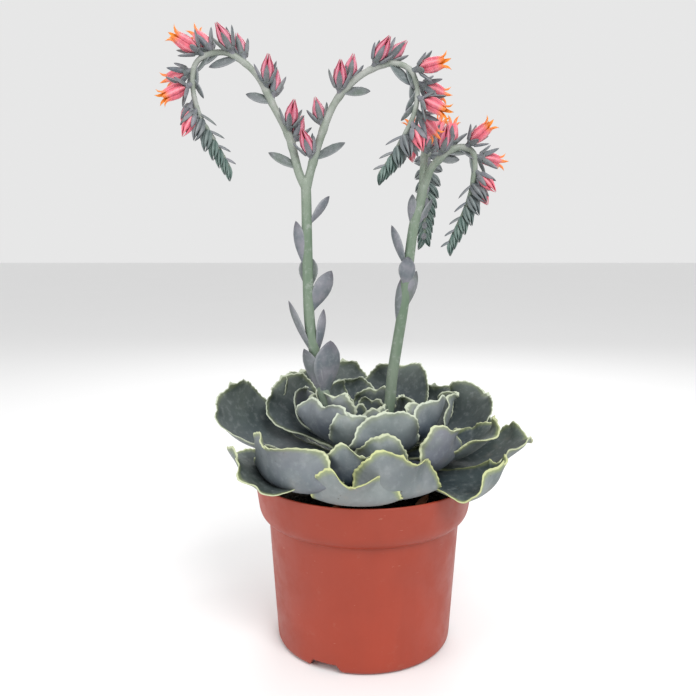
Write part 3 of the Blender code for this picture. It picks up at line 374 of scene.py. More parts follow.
def leaf_line(reach, rise, end_slope, bend):
    """Centre line of a leaf: its slope turns smoothly from a first value to end_slope between two shares.

    The first value is found by halving, so that the line ends at the wanted reach and rise.
    """
    share = np.linspace(0, 1, 81)
    turn = np.clip((share - bend[0]) / (bend[1] - bend[0]), 0, 1)
    turn = turn**2 * (3 - 2 * turn)
    low, high = -0.8, end_slope
    for _ in range(30):
        first = (low + high) / 2
        slope = first + (end_slope - first) * turn
        run = np.concatenate([[0], np.cumsum(np.cos(slope[:-1] / 2 + slope[1:] / 2))]) / 80
        lift = np.concatenate([[0], np.cumsum(np.sin(slope[:-1] / 2 + slope[1:] / 2))]) / 80
        if math.atan2(lift[-1], run[-1]) > math.atan2(rise, reach):
            high = first
        else:
            low = first
    length = reach / run[-1]
    return share * length, run * length, lift * length, slope


def edge_waves(run, phase, settings):
    """Height of the fine frill along an edge: three waves of 21, 13 and 7 mm that swell and fade along it."""
    swell = 0.55 + 0.45 * np.sin(run * math.tau / 0.047 + 2.3 * phase)
    waves = np.sin(run * math.tau / 0.021 + phase) + 0.75 * swell * np.sin(run * math.tau / 0.0132 + 3.1 * phase)
    return settings.frill * (waves + 0.40 * swell * np.sin(run * math.tau / 0.0071 + 5.3 * phase))


def leaf_shell(row, base_z, columns, number, settings):
    """One frilled leaf as a closed shell.

    The outline is a spoon. Rows a run from the midrib (0) to the edge (1) and back on the other face, columns
    c run along the edge from the base on one side round the tip to the base on the other. A cross-section is
    an arc, to which the frill adds its waves with the cube of a, and a curl lifts one side.
    """
    azimuth, reach, tip_z, width, end_slope, curl, twist = row
    reach, tip_z, width, curl = reach / 1000, tip_z / 1000, width / 1000, curl / 1000
    dip_at, dip_depth, phase = LEAF_EDGES.get(number, (*PLAIN_DIP, PLAIN_PHASE_STEP * number))
    bend = LEAF_BENDS.get(number, PLAIN_BEND)
    column = np.linspace(-1, 1, 2 * columns + 1)
    q, hand = np.abs(column), np.sign(column)
    run, radius, rise, slope = leaf_line(reach - LEAF_BASE_RADIUS, tip_z - base_z, math.radians(end_slope), bend)
    length = run[-1]
    turn = np.clip(q / END_SHARE, 0, 1) * math.pi / 2
    flank = np.clip((1 - q) / (1 - END_SHARE), 0, 1)
    widest = length - END_LENGTH_SHARE * width
    neck = LEAF_NECK_SHARE * width
    swell = flank**3 * (4 - 3 * flank)
    lobes = 1 + LOBE_SHARE * np.sin(7.3 * column + 2.1 * phase) * np.clip(2.4 * (1 - q), 0, 1)
    round_end = width / 2 * np.sin(turn) ** 0.8
    edge_x = hand * lobes * np.where(q < END_SHARE, round_end, neck / 2 + (width - neck) / 2 * swell)
    dip = dip_depth / 1000 * np.exp(-(((2 * edge_x / width - dip_at) / DIP_SHARE) ** 2)) * np.sqrt(np.cos(turn))
    edge_s = np.where(q < END_SHARE, widest + (length - widest) * np.cos(turn) * lobes - dip, widest * flank)
    rib_end = RIB_END_SHARE * (length - widest) * (1 - q / END_SHARE)
    rib_s = np.where(q < END_SHARE, widest + rib_end, widest * flank)
    edge_run = np.concatenate([[0], np.cumsum(np.hypot(np.diff(edge_x), np.diff(edge_s)))])
    edge_run -= edge_run[columns]
    fade = np.clip(1.3 - q, 0, 1)
    waves = edge_waves(edge_run, phase, settings) * fade * min(1.0, width / 0.036)
    teeth = 0.00022 * np.sin(edge_run * math.tau / 0.0031) + 0.00030 * np.sin(edge_run * math.tau / 0.0083 + phase)
    mucro = 0.0022 * np.exp(-((edge_run / 0.0014) ** 2)) * (number < 18)

    a = np.array(LEAF_ROWS)[:, None]
    x = a * edge_x
    s = rib_s + a * (edge_s - rib_s)
    out = np.hypot(edge_x, edge_s - rib_s) + 1e-6
    x = x + a**8 * teeth * edge_x / out
    s = s + a**8 * (teeth * (edge_s - rib_s) / out + mucro)
    alpha = np.interp(s, run, slope)
    beyond = np.clip(s - length, 0, None)
    radial = LEAF_BASE_RADIUS + np.interp(s, run, radius) + beyond * np.cos(alpha)
    height = base_z + np.interp(s, run, rise) + beyond * np.sin(alpha)
    spread = np.clip(s / length, 0, 1)
    cup = LEAF_CUP_RADIUS * (1 + 1.2 * (1 - spread))
    across, lift = cup * np.sin(x / cup), cup * (1 - np.cos(x / cup))
    frill = np.sin(9.0 * column + phase) + 0.6 * np.sin(15.0 * column + 2 * phase)
    lift = lift + FRILL_HEIGHT * a**3 * frill * fade * width / 0.040
    lift = lift + a**5 * waves
    lift = lift + abs(curl) * np.clip(x * math.copysign(2, curl) / width, 0, 1) ** 3 * spread
    lift = lift + 0.0005 * np.sin(190 * x + phase) * np.sin(150 * s + 2 * phase)
    full = (LEAF_THICK_BASE + (LEAF_THICK_BLADE - LEAF_THICK_BASE) * spread) * (1 - a**2) + 0.0008
    thick = full * np.sqrt(np.clip(1 - a**36, 0, 1))
    roll = math.radians(twist) * spread**2

    def placed(depth):
        """Points of one face, a depth below the upper one, rolled by the twist and turned to the azimuth."""
        up = (lift - depth) * np.cos(roll) + across * np.sin(roll)
        aside = across * np.cos(roll) - (lift - depth) * np.sin(roll)
        r = radial - up * np.sin(alpha)
        z = height + up * np.cos(alpha)
        c, d = math.cos(math.radians(azimuth)), math.sin(math.radians(azimuth))
        return np.stack([r * c - aside * d, r * d + aside * c, z], -1)

    rim = 0.5 * (full - thick) * (a > 0.9)
    upper, lower = placed(rim), placed(rim + thick)
    rows, count = x.shape
    points = np.concatenate([upper, lower[-2::-1]]).reshape(-1, 3)
    index = np.arange((2 * rows - 1) * count).reshape(2 * rows - 1, count)
    for rib in (0, -1):
        index[rib, columns + 1:] = index[rib, columns - 1::-1]
    triangles = [grid_triangles(index)]
    triangles.append(grid_triangles(np.stack([index[:rows, 0], index[::-1][:rows, 0]])))
    triangles.append(grid_triangles(np.stack([index[::-1][:rows, -1], index[:rows, -1]])))
    margin = (1 - a) * out * 1000
    tone = LEAF_TONES.get(number, PLAIN_TONE)
    # blue is how much painted shade in dark blue lies on the leaf's base.
    values = {"margin": margin, "along": spread * np.ones_like(x), "blue": np.full_like(x, tone[0]),
              "purple": np.full_like(x, tone[1]), "ripe": np.full_like(x, tone[2])}
    values = {name: np.concatenate([value, value[-2::-1]]).ravel() for name, value in values.items()}
    values["inner"] = (np.arange(2 * rows - 1) < rows)[:, None].repeat(count, 1).ravel().astype(float)
    return points, outward(points[None], np.concatenate(triangles)), values


def arm_frames(points):
    """Centre line of an arm, distance along it and direction at each point."""
    route, run = smooth_route(points, 0.0060)
    return route, run, np.gradient(route, axis=0)


def at_distance(route, run, ways, distance):
    """Place and direction at a distance along an arm."""
    place = np.array([np.interp(distance, run, route[:, k]) for k in range(3)]).T
    return place, unit(np.array([np.interp(distance, run, ways[:, k]) for k in range(3)]).T)


def flower_axes(arm, distance, side_deg, lean_deg, frames):
    """Where flowers leave their arm and the way they point: out from the arch, to one side, leaning along it."""
    place, along = at_distance(*frames, distance)
    across = unit(ARM_FACES[arm])
    out = unit(np.cross(along, across))
    side, lean = np.radians(side_deg)[:, None], np.radians(lean_deg)[:, None]
    aside = out * np.cos(side) + across * np.sin(side)
    return place, unit(along * np.sin(lean) + aside * np.cos(lean)), out, along


def arm_flowers(arm):
    """Places and axes of the flowers on one arm, with their stages."""
    frames = arm_frames(ARMS[arm])
    distance = np.array([d for d, _ in BLOOMS[arm]]) / 1000
    stage = [s for _, s in BLOOMS[arm]]
    side = np.where(np.arange(len(stage)) % 2, SIDE_DEG, -SIDE_DEG)
    lean = np.array([STAGES[s][2] for s in stage])
    place, way, out, along = flower_axes(arm, distance, side, lean, frames)
    return place, place + way * (PEDICEL + 0.0020), way, np.array(stage)


def arm_buds(arm):
    """Places, axes, lengths, radii and youth of the green buds that close towards the tip of one arm."""
    frames = arm_frames(ARMS[arm])
    first, end = BLOOMS[arm][-1][0] / 1000 + 0.003, frames[1][-1] - 0.0005
    distance = [first]
    while distance[-1] < end:
        young = (distance[-1] - first) / (end - first)
        distance.append(distance[-1] + BUD_SPACING * (1.15 - 0.40 * young))
    distance = np.array(distance[:-1])
    young = (distance - first) / (end - first)
    size = 1.0 - 0.42 * young
    side = np.where(np.arange(len(distance)) % 2, BUD_SIDE_DEG, -BUD_SIDE_DEG)
    place, way, out, along = flower_axes(arm, distance, side, 36.0 + 24.0 * young, frames)
    return place, way, BUD_LENGTH * size, BUD_RADIUS * size, young, out, along


def seats(root, base, way, radius):
    """Pedicels that swell into receptacles: round sections whose radius follows a curve from arm to seat."""
    share = np.array([0.0, 0.30, 0.62, 0.80, 0.93, 1.0])
    first, second = axis_frame(way)
    angle = np.linspace(0, math.tau, 12, endpoint=False)
    spoke = first[:, None, None] * np.cos(angle)[:, None] + second[:, None, None] * np.sin(angle)[:, None]
    wide = np.array([0.0010, 0.0010, 0.0012, 0.0017, 0.0024, 0.0025])[None] * (radius / 0.0031)[:, None]
    centre = root[:, None] + (base - root)[:, None] * share[:, None]
    rings = centre[:, :, None] + spoke * wide[..., None, None]
    return shells(rings, root, base + way * 0.0003, along=share[None, :, None] * 0.4, tint=0.5)


def sepals(base, way, stage, rng):
    """Five fleshy sepals round each flower, which clasp it and then bend outwards, each a little different."""
    first, second = axis_frame(way)
    radius = np.array([STAGES[s][1] for s in stage])
    length = np.array([STAGES[s][3] for s in stage])
    tilt = np.array([STAGES[s][4] for s in stage])
    angle = (np.arange(PETALS) + 0.5) * math.tau / PETALS + rng.uniform(-0.10, 0.10, (len(stage), PETALS))
    spoke = first[:, None] * np.cos(angle)[..., None] + second[:, None] * np.sin(angle)[..., None]
    tilts = np.radians(tilt[:, None] + rng.uniform(-7, 9, angle.shape))[..., None]
    ways = way[:, None] * np.cos(tilts) + spoke * np.sin(tilts)
    face = way[:, None] * np.sin(tilts) - spoke * np.cos(tilts)
    root = base[:, None] + spoke * (0.62 * radius)[:, None, None] - way[:, None] * 0.0006
    lengths = length[:, None] * rng.uniform(0.86, 1.10, angle.shape)
    bend = rng.uniform(0.05, 0.45, angle.shape) - np.array([0.35 if s == "open" else 0.1 for s in stage])[:, None]
    outline = ((0.0, 0.12, 0.30, 0.50, 0.72, 0.88, 0.96, 1.0), (0.80, 0.98, 1.0, 0.92, 0.66, 0.38, 0.20, 0.0))
    flat = [v.reshape(-1, 3) for v in (root, ways, face)]
    return blades(*flat, lengths.ravel(), 0.0031, 0.0013, bend.ravel(), outline, cup=0.28, stations=11, around=10,
                  tint=rng.uniform(0.0, 1.0, angle.size))


class Finish:
    """One material and the nodes that colour it."""

    def __init__(self, name, roughness=0.55):
        self.material = bpy.data.materials.new(name)
        self.material.use_nodes = True
        self.tree = self.material.node_tree
        self.shader = self.tree.nodes["Principled BSDF"]
        self.shader.inputs["Roughness"].default_value = roughness
        self.place = self.node("TexCoord").outputs["Object"]

    def node(self, kind, inputs=None, **settings):
        """Adds a node with its settings, and links or sets its inputs."""
        made = self.tree.nodes.new("ShaderNode" + kind)
        for key, value in settings.items():
            setattr(made, key, value)
        for key, value in (inputs or {}).items():
            self.join(made.inputs[key], value)
        return made

    def join(self, socket, value):
        """Links a socket to another, or gives it a value."""
        if isinstance(value, bpy.types.NodeSocket):
            self.tree.links.new(value, socket)
        else:
            socket.default_value = value

    def value(self, name):
        """A value that the piece's mesh carries at each point."""
        return self.node("Attribute", attribute_name=name).outputs["Fac"]

    def math(self, operation, *values, clamp=False):
        """A Math node."""
        return self.node("Math", dict(enumerate(values)), operation=operation, use_clamp=clamp).outputs[0]

    def span(self, value, low, high, to_low=0.0, to_high=1.0):
        """A smooth step of value from low to high."""
        return self.node("MapRange", {"Value": value, "From Min": low, "From Max": high, "To Min": to_low,
                                      "To Max": to_high}, interpolation_type="SMOOTHSTEP").outputs[0]

    def noise(self, scale, detail=3.0, rough=0.5, stretch=(1.0, 1.0, 1.0), distortion=0.0):
        """Noise on Object coordinates."""
        place = self.place
        if stretch != (1.0, 1.0, 1.0):
            place = self.node("Mapping", {"Vector": self.place, "Scale": stretch}).outputs[0]
        return self.node("TexNoise", {"Vector": place, "Scale": scale, "Detail": detail, "Roughness": rough,
                                      "Distortion": distortion}).outputs["Fac"]

    def cells(self, scale):
        """Distance to the nearest of scattered points."""
        return self.node("TexVoronoi", {"Vector": self.place, "Scale": scale}).outputs["Distance"]

    def mix(self, factor, first, second, blend="MIX"):
        """A blend of two colours."""
        made = self.node("Mix", {0: factor, 6: first, 7: second}, data_type="RGBA", blend_type=blend)
        made.clamp_factor = True
        return made.outputs[2]

    def finish(self, colour, bump=None, strength=0.2, distance=0.0004, roughness=None):
        """Joins colour, bump and roughness to the shader, and gives the material."""
        self.join(self.shader.inputs["Base Color"], colour)
        if roughness is not None:
            self.join(self.shader.inputs["Roughness"], roughness)
        if bump is not None:
            self.join(self.shader.inputs["Normal"], self.node("Bump", {
                "Height": bump, "Strength": strength, "Distance": distance}).outputs[0])
        return self.material


def rgb(colour, share=1.0):
    """A colour with its alpha, darkened by a share."""
    return (colour[0] * share, colour[1] * share, colour[2] * share, 1.0)


def leaf_finish(settings):
    """Waxy leaf: pale blue-grey backs, dark olive faces that are partly their own tone and partly painted shade,
    painted shade in dark blue and a mauve tinge at the bases, a cream margin, brown specks.
    """
    f = Finish("waxy_leaf", 0.6)
    margin, along, inner = f.value("margin"), f.value("along"), f.value("inner")
    ripe, blue, purple = f.value("ripe"), f.value("blue"), f.value("purple")
    broad, fine = f.noise(42, 4, 0.55), f.noise(300, 5, 0.6)
    streaks = f.noise(120, 4, 0.6, (1.0, 1.0, 0.25))
    back = f.mix(f.span(broad, 0.36, 0.66), rgb((0.135, 0.165, 0.160)), rgb((0.235, 0.262, 0.255)))
    back = f.mix(f.math("MULTIPLY", f.span(streaks, 0.45, 0.75), 0.35), back, rgb((0.29, 0.31, 0.30)))
    # The upper faces are dark olive, partly their own tone and partly painted shade; the paler backs are partly their
    # own tone and partly painted light.
    face = f.mix(f.span(broad, 0.35, 0.68), rgb((0.040, 0.055, 0.044)), rgb((0.082, 0.104, 0.088)))
    colour = f.mix(inner, back, face)
    colour = f.mix(f.math("MULTIPLY", purple, f.span(f.noise(60, 3), 0.35, 0.65, 0.25, 0.75)), colour,
                   rgb((0.17, 0.165, 0.215)))
    # Painted shade: dark blue laid over each leaf towards its crowded base, more on leaves with a higher blue value.
    painted_base_shade = f.math("MULTIPLY", f.math("ADD", blue, 0.25), f.span(along, 0.62, 1.0, 1.0, 0.15))
    colour = f.mix(f.math("MULTIPLY", painted_base_shade, 0.9, clamp=True), colour, rgb((0.030, 0.050, 0.082)))
    bloom = f.math("MULTIPLY", f.span(fine, 0.48, 0.72), 0.18 * settings.bloom * 2)
    colour = f.mix(bloom, colour, rgb((0.40, 0.43, 0.43)))
    specks = f.math("MULTIPLY", f.span(f.cells(330), 0.10, 0.20, 1.0, 0.0), f.span(f.noise(95, 2), 0.54, 0.64))
    colour = f.mix(f.math("MULTIPLY", specks, f.math("MULTIPLY", ripe, 0.75)), colour, rgb((0.05, 0.035, 0.02)))
    rust = f.math("MULTIPLY", f.span(f.noise(70, 3, 0.6), 0.55, 0.75), f.math("MULTIPLY", ripe, 0.30))
    colour = f.mix(rust, colour, rgb((0.30, 0.25, 0.19)))
    ragged = f.math("ADD", margin, f.math("MULTIPLY", f.math("SUBTRACT", f.noise(420, 3), 0.5), 1.1))
    glow = f.math("MULTIPLY", f.span(ragged, 0.4, 3.4, 1.0, 0.0), f.span(ripe, 0.0, 1.0, 0.30, 0.75))
    colour = f.mix(glow, colour, rgb((0.255, 0.300, 0.110)))
    edge = f.span(ragged, settings.margin * 600, settings.margin * 1500, 0.9, 0.0)
    cream = f.mix(ripe, rgb((0.53, 0.58, 0.47)), rgb((0.52, 0.55, 0.26)))
    colour = f.mix(edge, colour, cream)
    roughness = f.span(fine, 0.3, 0.7, 0.50, 0.68)
    height = f.math("ADD", f.math("MULTIPLY", fine, 0.35), f.math("MULTIPLY", f.span(f.cells(620), 0.0, 0.5), 0.3))
    return f.finish(colour, height, 0.16, 0.0005, roughness)


def stem_finish():
    """Stem: pale sage green under a bloom that is thicker and greyer towards the arms."""
    f = Finish("sage_stem", 0.55)
    high = f.node("SeparateXYZ", {0: f.place}).outputs[2]
    green = f.mix(f.span(f.noise(90, 4, 0.6, (1, 1, 0.2)), 0.3, 0.7), rgb((0.105, 0.160, 0.105)),
                  rgb((0.185, 0.235, 0.175)))
    grey = f.mix(f.span(f.noise(150, 4), 0.35, 0.7), rgb((0.215, 0.245, 0.205)), rgb((0.330, 0.345, 0.320)))
    colour = f.mix(f.span(high, 0.215, 0.300), green, grey)
    colour = f.mix(f.math("MULTIPLY", f.span(f.noise(240, 5, 0.7), 0.52, 0.70), 0.45), colour, rgb((0.36, 0.39, 0.36)))
    fine = f.noise(700, 3)
    return f.finish(colour, f.math("ADD", fine, f.noise(160, 3, 0.5, (1, 1, 0.15))), 0.18, 0.0004,
                    f.span(fine, 0.3, 0.7, 0.48, 0.62))


def bract_finish():
    """Bracts and sepals: fleshy grey-mauve to blue-green, paler along the edges, dusky at the tip."""
    f = Finish("mauve_bract", 0.55)
    tint, along, across = f.value("tint"), f.value("along"), f.value("across")
    broad = f.noise(130, 4)
    colour = f.mix(tint, rgb((0.105, 0.125, 0.145)), rgb((0.130, 0.150, 0.138)))
    colour = f.mix(f.span(broad, 0.35, 0.7), colour, rgb((0.190, 0.190, 0.215)))
    colour = f.mix(f.math("MULTIPLY", f.value("inner"), 0.35), colour, rgb((0.095, 0.130, 0.105)))
    colour = f.mix(f.span(along, 0.10, 0.0, 0.0, 0.6), colour, rgb((0.20, 0.245, 0.19)))
    colour = f.mix(f.math("MULTIPLY", f.span(across, 0.80, 1.0), 0.45), colour, rgb((0.30, 0.31, 0.32)))
    colour = f.mix(f.math("MULTIPLY", f.span(along, 0.72, 1.0), 0.6), colour, rgb((0.050, 0.042, 0.060)))
    fine = f.noise(500, 4, 0.6)
    colour = f.mix(f.math("MULTIPLY", f.span(fine, 0.50, 0.72), 0.30), colour, rgb((0.33, 0.35, 0.36)))
    return f.finish(colour, fine, 0.14, 0.0004, f.span(fine, 0.3, 0.7, 0.48, 0.64))


def bud_finish():
    """Green buds: grey teal, with waxy pale ridges and dusky tips."""
    f = Finish("teal_bud", 0.55)
    along, across, young = f.value("along"), f.value("across"), f.value("young")
    old = f.mix(f.span(f.noise(170, 3), 0.35, 0.7), rgb((0.110, 0.125, 0.135)), rgb((0.170, 0.180, 0.190)))
    fresh = f.mix(f.span(f.noise(170, 3), 0.35, 0.7), rgb((0.070, 0.120, 0.105)), rgb((0.140, 0.200, 0.175)))
    colour = f.mix(f.span(young, 0.0, 0.6), old, fresh)
    colour = f.mix(f.math("MULTIPLY", f.span(across, 0.35, 0.0), 0.35), colour, rgb((0.27, 0.31, 0.30)))
    colour = f.mix(f.math("MULTIPLY", f.span(along, 0.72, 1.0), 0.6), colour, rgb((0.035, 0.040, 0.048)))
    fine = f.noise(600, 3)
    return f.finish(colour, fine, 0.12, 0.0003, f.span(fine, 0.3, 0.7, 0.46, 0.60))


def petal_finish(settings):
    """Waxy petals: salmon pink with a painted highlight along the keels, orange to yellow tips on open flowers, duller
    when spent.
    """
    f = Finish("salmon_petal", 0.42)
    along, across, inner, opened = f.value("along"), f.value("across"), f.value("inner"), f.value("opened")
    pink = settings.petal_colour
    veins = f.noise(380, 3, 0.6, (1, 1, 0.5))
    colour = f.mix(f.span(veins, 0.35, 0.7), rgb(pink), rgb(pink, 0.72))
    # Painted highlight: paler pink along the keel in the middle of each petal.
    colour = f.mix(f.math("MULTIPLY", f.span(across, 0.42, 0.0), 0.40), colour, rgb((0.86, 0.42, 0.46)))
    seam = f.math("MULTIPLY", f.span(across, 0.70, 1.0), f.span(opened, 0.0, 1.0, 0.65, 0.30))
    colour = f.mix(seam, colour, rgb((0.42, 0.035, 0.08)))
    dull = f.mix(f.span(across, 0.0, 0.8), rgb((0.50, 0.20, 0.28)), rgb((0.27, 0.035, 0.085)))
    colour = f.mix(f.span(opened, 0.35, 0.0, 0.0, 0.60), colour, dull)
    tips = f.math("MULTIPLY", f.span(along, 0.60, 0.90), f.span(opened, 0.6, 1.0))
    colour = f.mix(tips, colour, rgb((0.82, 0.215, 0.035)))
    colour = f.mix(f.math("MULTIPLY", inner, f.span(opened, 0.6, 1.0, 0.1, 0.9)), colour, rgb((0.88, 0.30, 0.02)))
    colour = f.mix(f.math("MULTIPLY", f.span(along, 0.12, 0.0), 0.5), colour, rgb((0.72, 0.38, 0.36)))
    f.shader.inputs["Subsurface Weight"].default_value = 0.12
    f.shader.inputs["Subsurface Radius"].default_value = (1.0, 0.35, 0.25)
    f.shader.inputs["Subsurface Scale"].default_value = 0.0012
    return f.finish(colour, f.noise(900, 2), 0.08, 0.0003)


def pot_finish(settings):
    """Moulded terracotta-coloured plastic: faint mottling, fine mould lines, patches of dust and scuffs."""
    f = Finish("terracotta_plastic", 0.42)
    body = settings.colour
    cloud = f.noise(14, 4, 0.55)
    colour = f.mix(f.span(cloud, 0.3, 0.7), rgb(body, 0.90), rgb(body, 1.10))
    flow = f.noise(60, 4, 0.6, (1, 1, 0.12))
    colour = f.mix(f.math("MULTIPLY", f.span(flow, 0.45, 0.75), 0.30), colour, rgb(body, 0.78))
    dust = f.math("MULTIPLY", f.span(f.noise(120, 6, 0.7), 0.60, 0.78), 0.20)
    colour = f.mix(dust, colour, rgb((0.36, 0.17, 0.11)))
    scuffs = f.math("MULTIPLY", f.span(f.noise(210, 3, 0.6, (1, 1, 4)), 0.70, 0.76), 0.4)
    colour = f.mix(scuffs, colour, rgb((0.45, 0.20, 0.13)))
    grain = f.noise(900, 3)
    height = f.math("ADD", f.math("MULTIPLY", grain, 0.5), f.math("MULTIPLY", flow, 1.2))
    roughness = f.span(f.noise(90, 5, 0.65), 0.3, 0.7, settings.roughness - 0.05, settings.roughness + 0.12)
    return f.finish(colour, height, 0.10, 0.0004, roughness)


def soil_finish():
    """Dark moist compost with brown fibres and a few pale specks."""
    f = Finish("compost", 0.9)
    colour = f.mix(f.span(f.noise(260, 6, 0.7), 0.35, 0.7), rgb((0.012, 0.009, 0.007)), rgb((0.050, 0.034, 0.022)))
    specks = f.span(f.cells(260), 0.10, 0.16, 0.7, 0.0)
    colour = f.mix(f.math("MULTIPLY", specks, f.span(f.noise(60, 2), 0.5, 0.6)), colour, rgb((0.16, 0.12, 0.08)))
    f.shader.inputs["Specular IOR Level"].default_value = 0.25
    return f.finish(colour, f.noise(420, 6, 0.75), 0.8, 0.0012)


def dry_finish():
    """Papery dead leaf: red-brown with darker veins."""
    f = Finish("dry_leaf", 0.75)
    colour = f.mix(f.span(f.noise(150, 5, 0.6), 0.3, 0.7), rgb((0.10, 0.030, 0.014)), rgb((0.25, 0.105, 0.050)))
    return f.finish(colour, f.noise(300, 4, 0.6), 0.5, 0.0006)


def floor_finish(settings):
    """Plain pale studio floor."""
    f = Finish("pale_floor", 0.8)
    colour = f.mix(f.noise(3, 2), rgb(settings.floor_colour), rgb(settings.floor_colour, 0.985))
    f.shader.inputs["Specular IOR Level"].default_value = 0.1
    return f.finish(colour)


def rounded(profile, passes=3):
    """A profile with its corners cut: each pass puts points at a quarter and three quarters of every side."""
    p = np.array(profile, float)
    for _ in range(passes):
        cut = np.stack([0.75 * p[:-1] + 0.25 * p[1:], 0.25 * p[:-1] + 0.75 * p[1:]], 1).reshape(-1, 2)
        p = np.vstack([p[:1], cut, p[-1:]])
    return p


def arch_lift(r, angle, grow):
    """Height to which the drain arches press the foot up at each (radius, angle), a flat roof with sloped sides."""
    lift = np.zeros(np.broadcast(r, angle).shape)
    for azimuth in np.radians(DRAIN_AZIMUTHS):
        away = np.abs(r * np.sin(angle - azimuth))
        side = np.clip((DRAIN_WIDTH / 2 + grow - away) * 2.0, 0, DRAIN_HEIGHT + grow)
        back = np.clip((r - (BODY_LOW_RADIUS - DRAIN_DEPTH - grow)) * 4.0, 0, DRAIN_HEIGHT + grow)
        lift = np.maximum(lift, np.where(np.cos(angle - azimuth) > 0, np.minimum(side, back), 0))
    return lift


def pot_surface():
    """The moulded pot: a profile from the foot's centre up to the rim and back down inside, turned round the axis.

    Wherever the profile is lower than the arches' height over that point, it is raised to it.
    """
    foot = BODY_LOW_RADIUS - FOOT_CORNER
    outer = rounded([(0.030, 0.0), (foot, 0.0), (foot + 0.62 * FOOT_CORNER, 0.10 * FOOT_CORNER),
                     (foot + 0.92 * FOOT_CORNER, 0.45 * FOOT_CORNER), (BODY_LOW_RADIUS, FOOT_CORNER),
                     (BODY_LOW_RADIUS + 0.0005, FOOT_CORNER + 0.008), (BODY_TOP_RADIUS - 0.0006, 0.0600),
                     (BODY_TOP_RADIUS, COLLAR_STEP_Z - 0.0011), (BODY_TOP_RADIUS + 0.0001, COLLAR_STEP_Z - 0.0002),
                     (BODY_TOP_RADIUS + 0.0012, COLLAR_STEP_Z), (COLLAR_LOW_RADIUS - 0.0014, COLLAR_STEP_Z + 0.0023),
                     (COLLAR_LOW_RADIUS, COLLAR_LOW_Z - 0.0006), (COLLAR_LOW_RADIUS + 0.0006, COLLAR_LOW_Z + 0.004),
                     (RIM_RADIUS - 0.0001, POT_HEIGHT - 0.0022), (RIM_RADIUS, POT_HEIGHT - 0.0003),
                     (RIM_RADIUS - 0.0005, POT_HEIGHT)], 2)
    inner = rounded([(RIM_RADIUS - 0.0008, POT_HEIGHT), (RIM_RADIUS - POT_WALL, POT_HEIGHT - 0.0005),
                     (COLLAR_LOW_RADIUS - POT_WALL, COLLAR_LOW_Z + 0.0005),
                     (BODY_TOP_RADIUS - POT_WALL + 0.0008, COLLAR_STEP_Z + 0.0018),
                     (BODY_TOP_RADIUS - POT_WALL, COLLAR_STEP_Z - 0.0010),
                     (BODY_LOW_RADIUS - POT_WALL, FOOT_CORNER + 0.0006), (foot, POT_WALL + 0.0004)], 1)
    bottom = np.stack([np.linspace(0.006, 0.030, 5), np.zeros(5)], 1)[:-1]
    ramp = np.array([(0.0345, 0.0), (0.0358, 0.0), (0.0364, 0.0), (0.0370, 0.0), (0.0376, 0.0), (0.0390, 0.0),
                     (0.0415, 0.0)])
    outer = np.vstack([outer[:1], ramp, outer[outer[:, 0] > 0.0425]])
    floor = np.stack([np.linspace(foot, 0.006, 6), np.full(6, POT_WALL + 0.0004)], 1)[1:]
    profile = np.vstack([bottom, outer, inner, floor])
    angle = np.linspace(0, math.tau, 360, endpoint=False)
    r, z = profile[:, :1] + 0 * angle, profile[:, 1:] + 0 * angle
    inside = np.arange(len(profile))[:, None] >= len(bottom) + len(outer)
    lift = np.where(inside, arch_lift(r, angle, POT_WALL), arch_lift(r, angle, 0.0))
    z = np.where(z < 0.012, np.maximum(z, lift), z)
    rings = np.stack([r * np.cos(angle), r * np.sin(angle), z], -1)
    return shells(rings[None], np.array([[0, 0, 0.0]]), np.array([[0, 0, POT_WALL + 0.0004]]))


def soil_level(x, y):
    """Height of the loose soil: a slight dome with long lumps and three sizes of crumb, as sums of sines."""
    r, angle = np.hypot(x, y), np.arctan2(y, x)
    lumps = np.sin(3 * angle + 1.0) + 0.7 * np.sin(5 * angle + 260 * r) + 0.5 * np.cos(8 * angle - 150 * r)
    level = SOIL_TOP_Z + 0.0012 * (0.6 * lumps * np.clip(r / 0.02, 0, 1)
                                   + 1.4 * np.cos(r / RIM_RADIUS * math.pi / 2))
    for size, height in ((0.0062, 0.0005), (0.0031, 0.0004), (0.0017, 0.0003)):
        k = math.tau / size
        level = level + height * np.sin(k * (x + 0.4 * y) + 3 * np.sin(k * 0.31 * y)) * np.sin(
            k * (y - 0.3 * x) + 3 * np.sin(k * 0.27 * x))
    return level


def soil_surface():
    """The fill of the pot as one closed body: a crumbly top, the wall that the pot gives it, and a flat floor."""
    angle = np.linspace(0, math.tau, 200, endpoint=False)
    top_r = np.linspace(0.001, 0.0566, 62)[:, None]
    x, y = top_r * np.cos(angle), top_r * np.sin(angle)
    top = np.stack([x, y, soil_level(x, y)], -1)
    low = np.array([(0.0560, 0.0780), (0.0508, 0.0690), (0.0466, 0.0080), (0.0330, 0.0070), (0.010, 0.0070)])
    walls = np.stack([low[:, :1] * np.cos(angle), low[:, :1] * np.sin(angle), low[:, 1:] + 0 * angle], -1)
    rings = np.concatenate([top, walls])[None]
    return shells(rings, np.array([[0, 0, SOIL_TOP_Z + 0.0017]]), np.array([[0, 0, 0.0070]]))


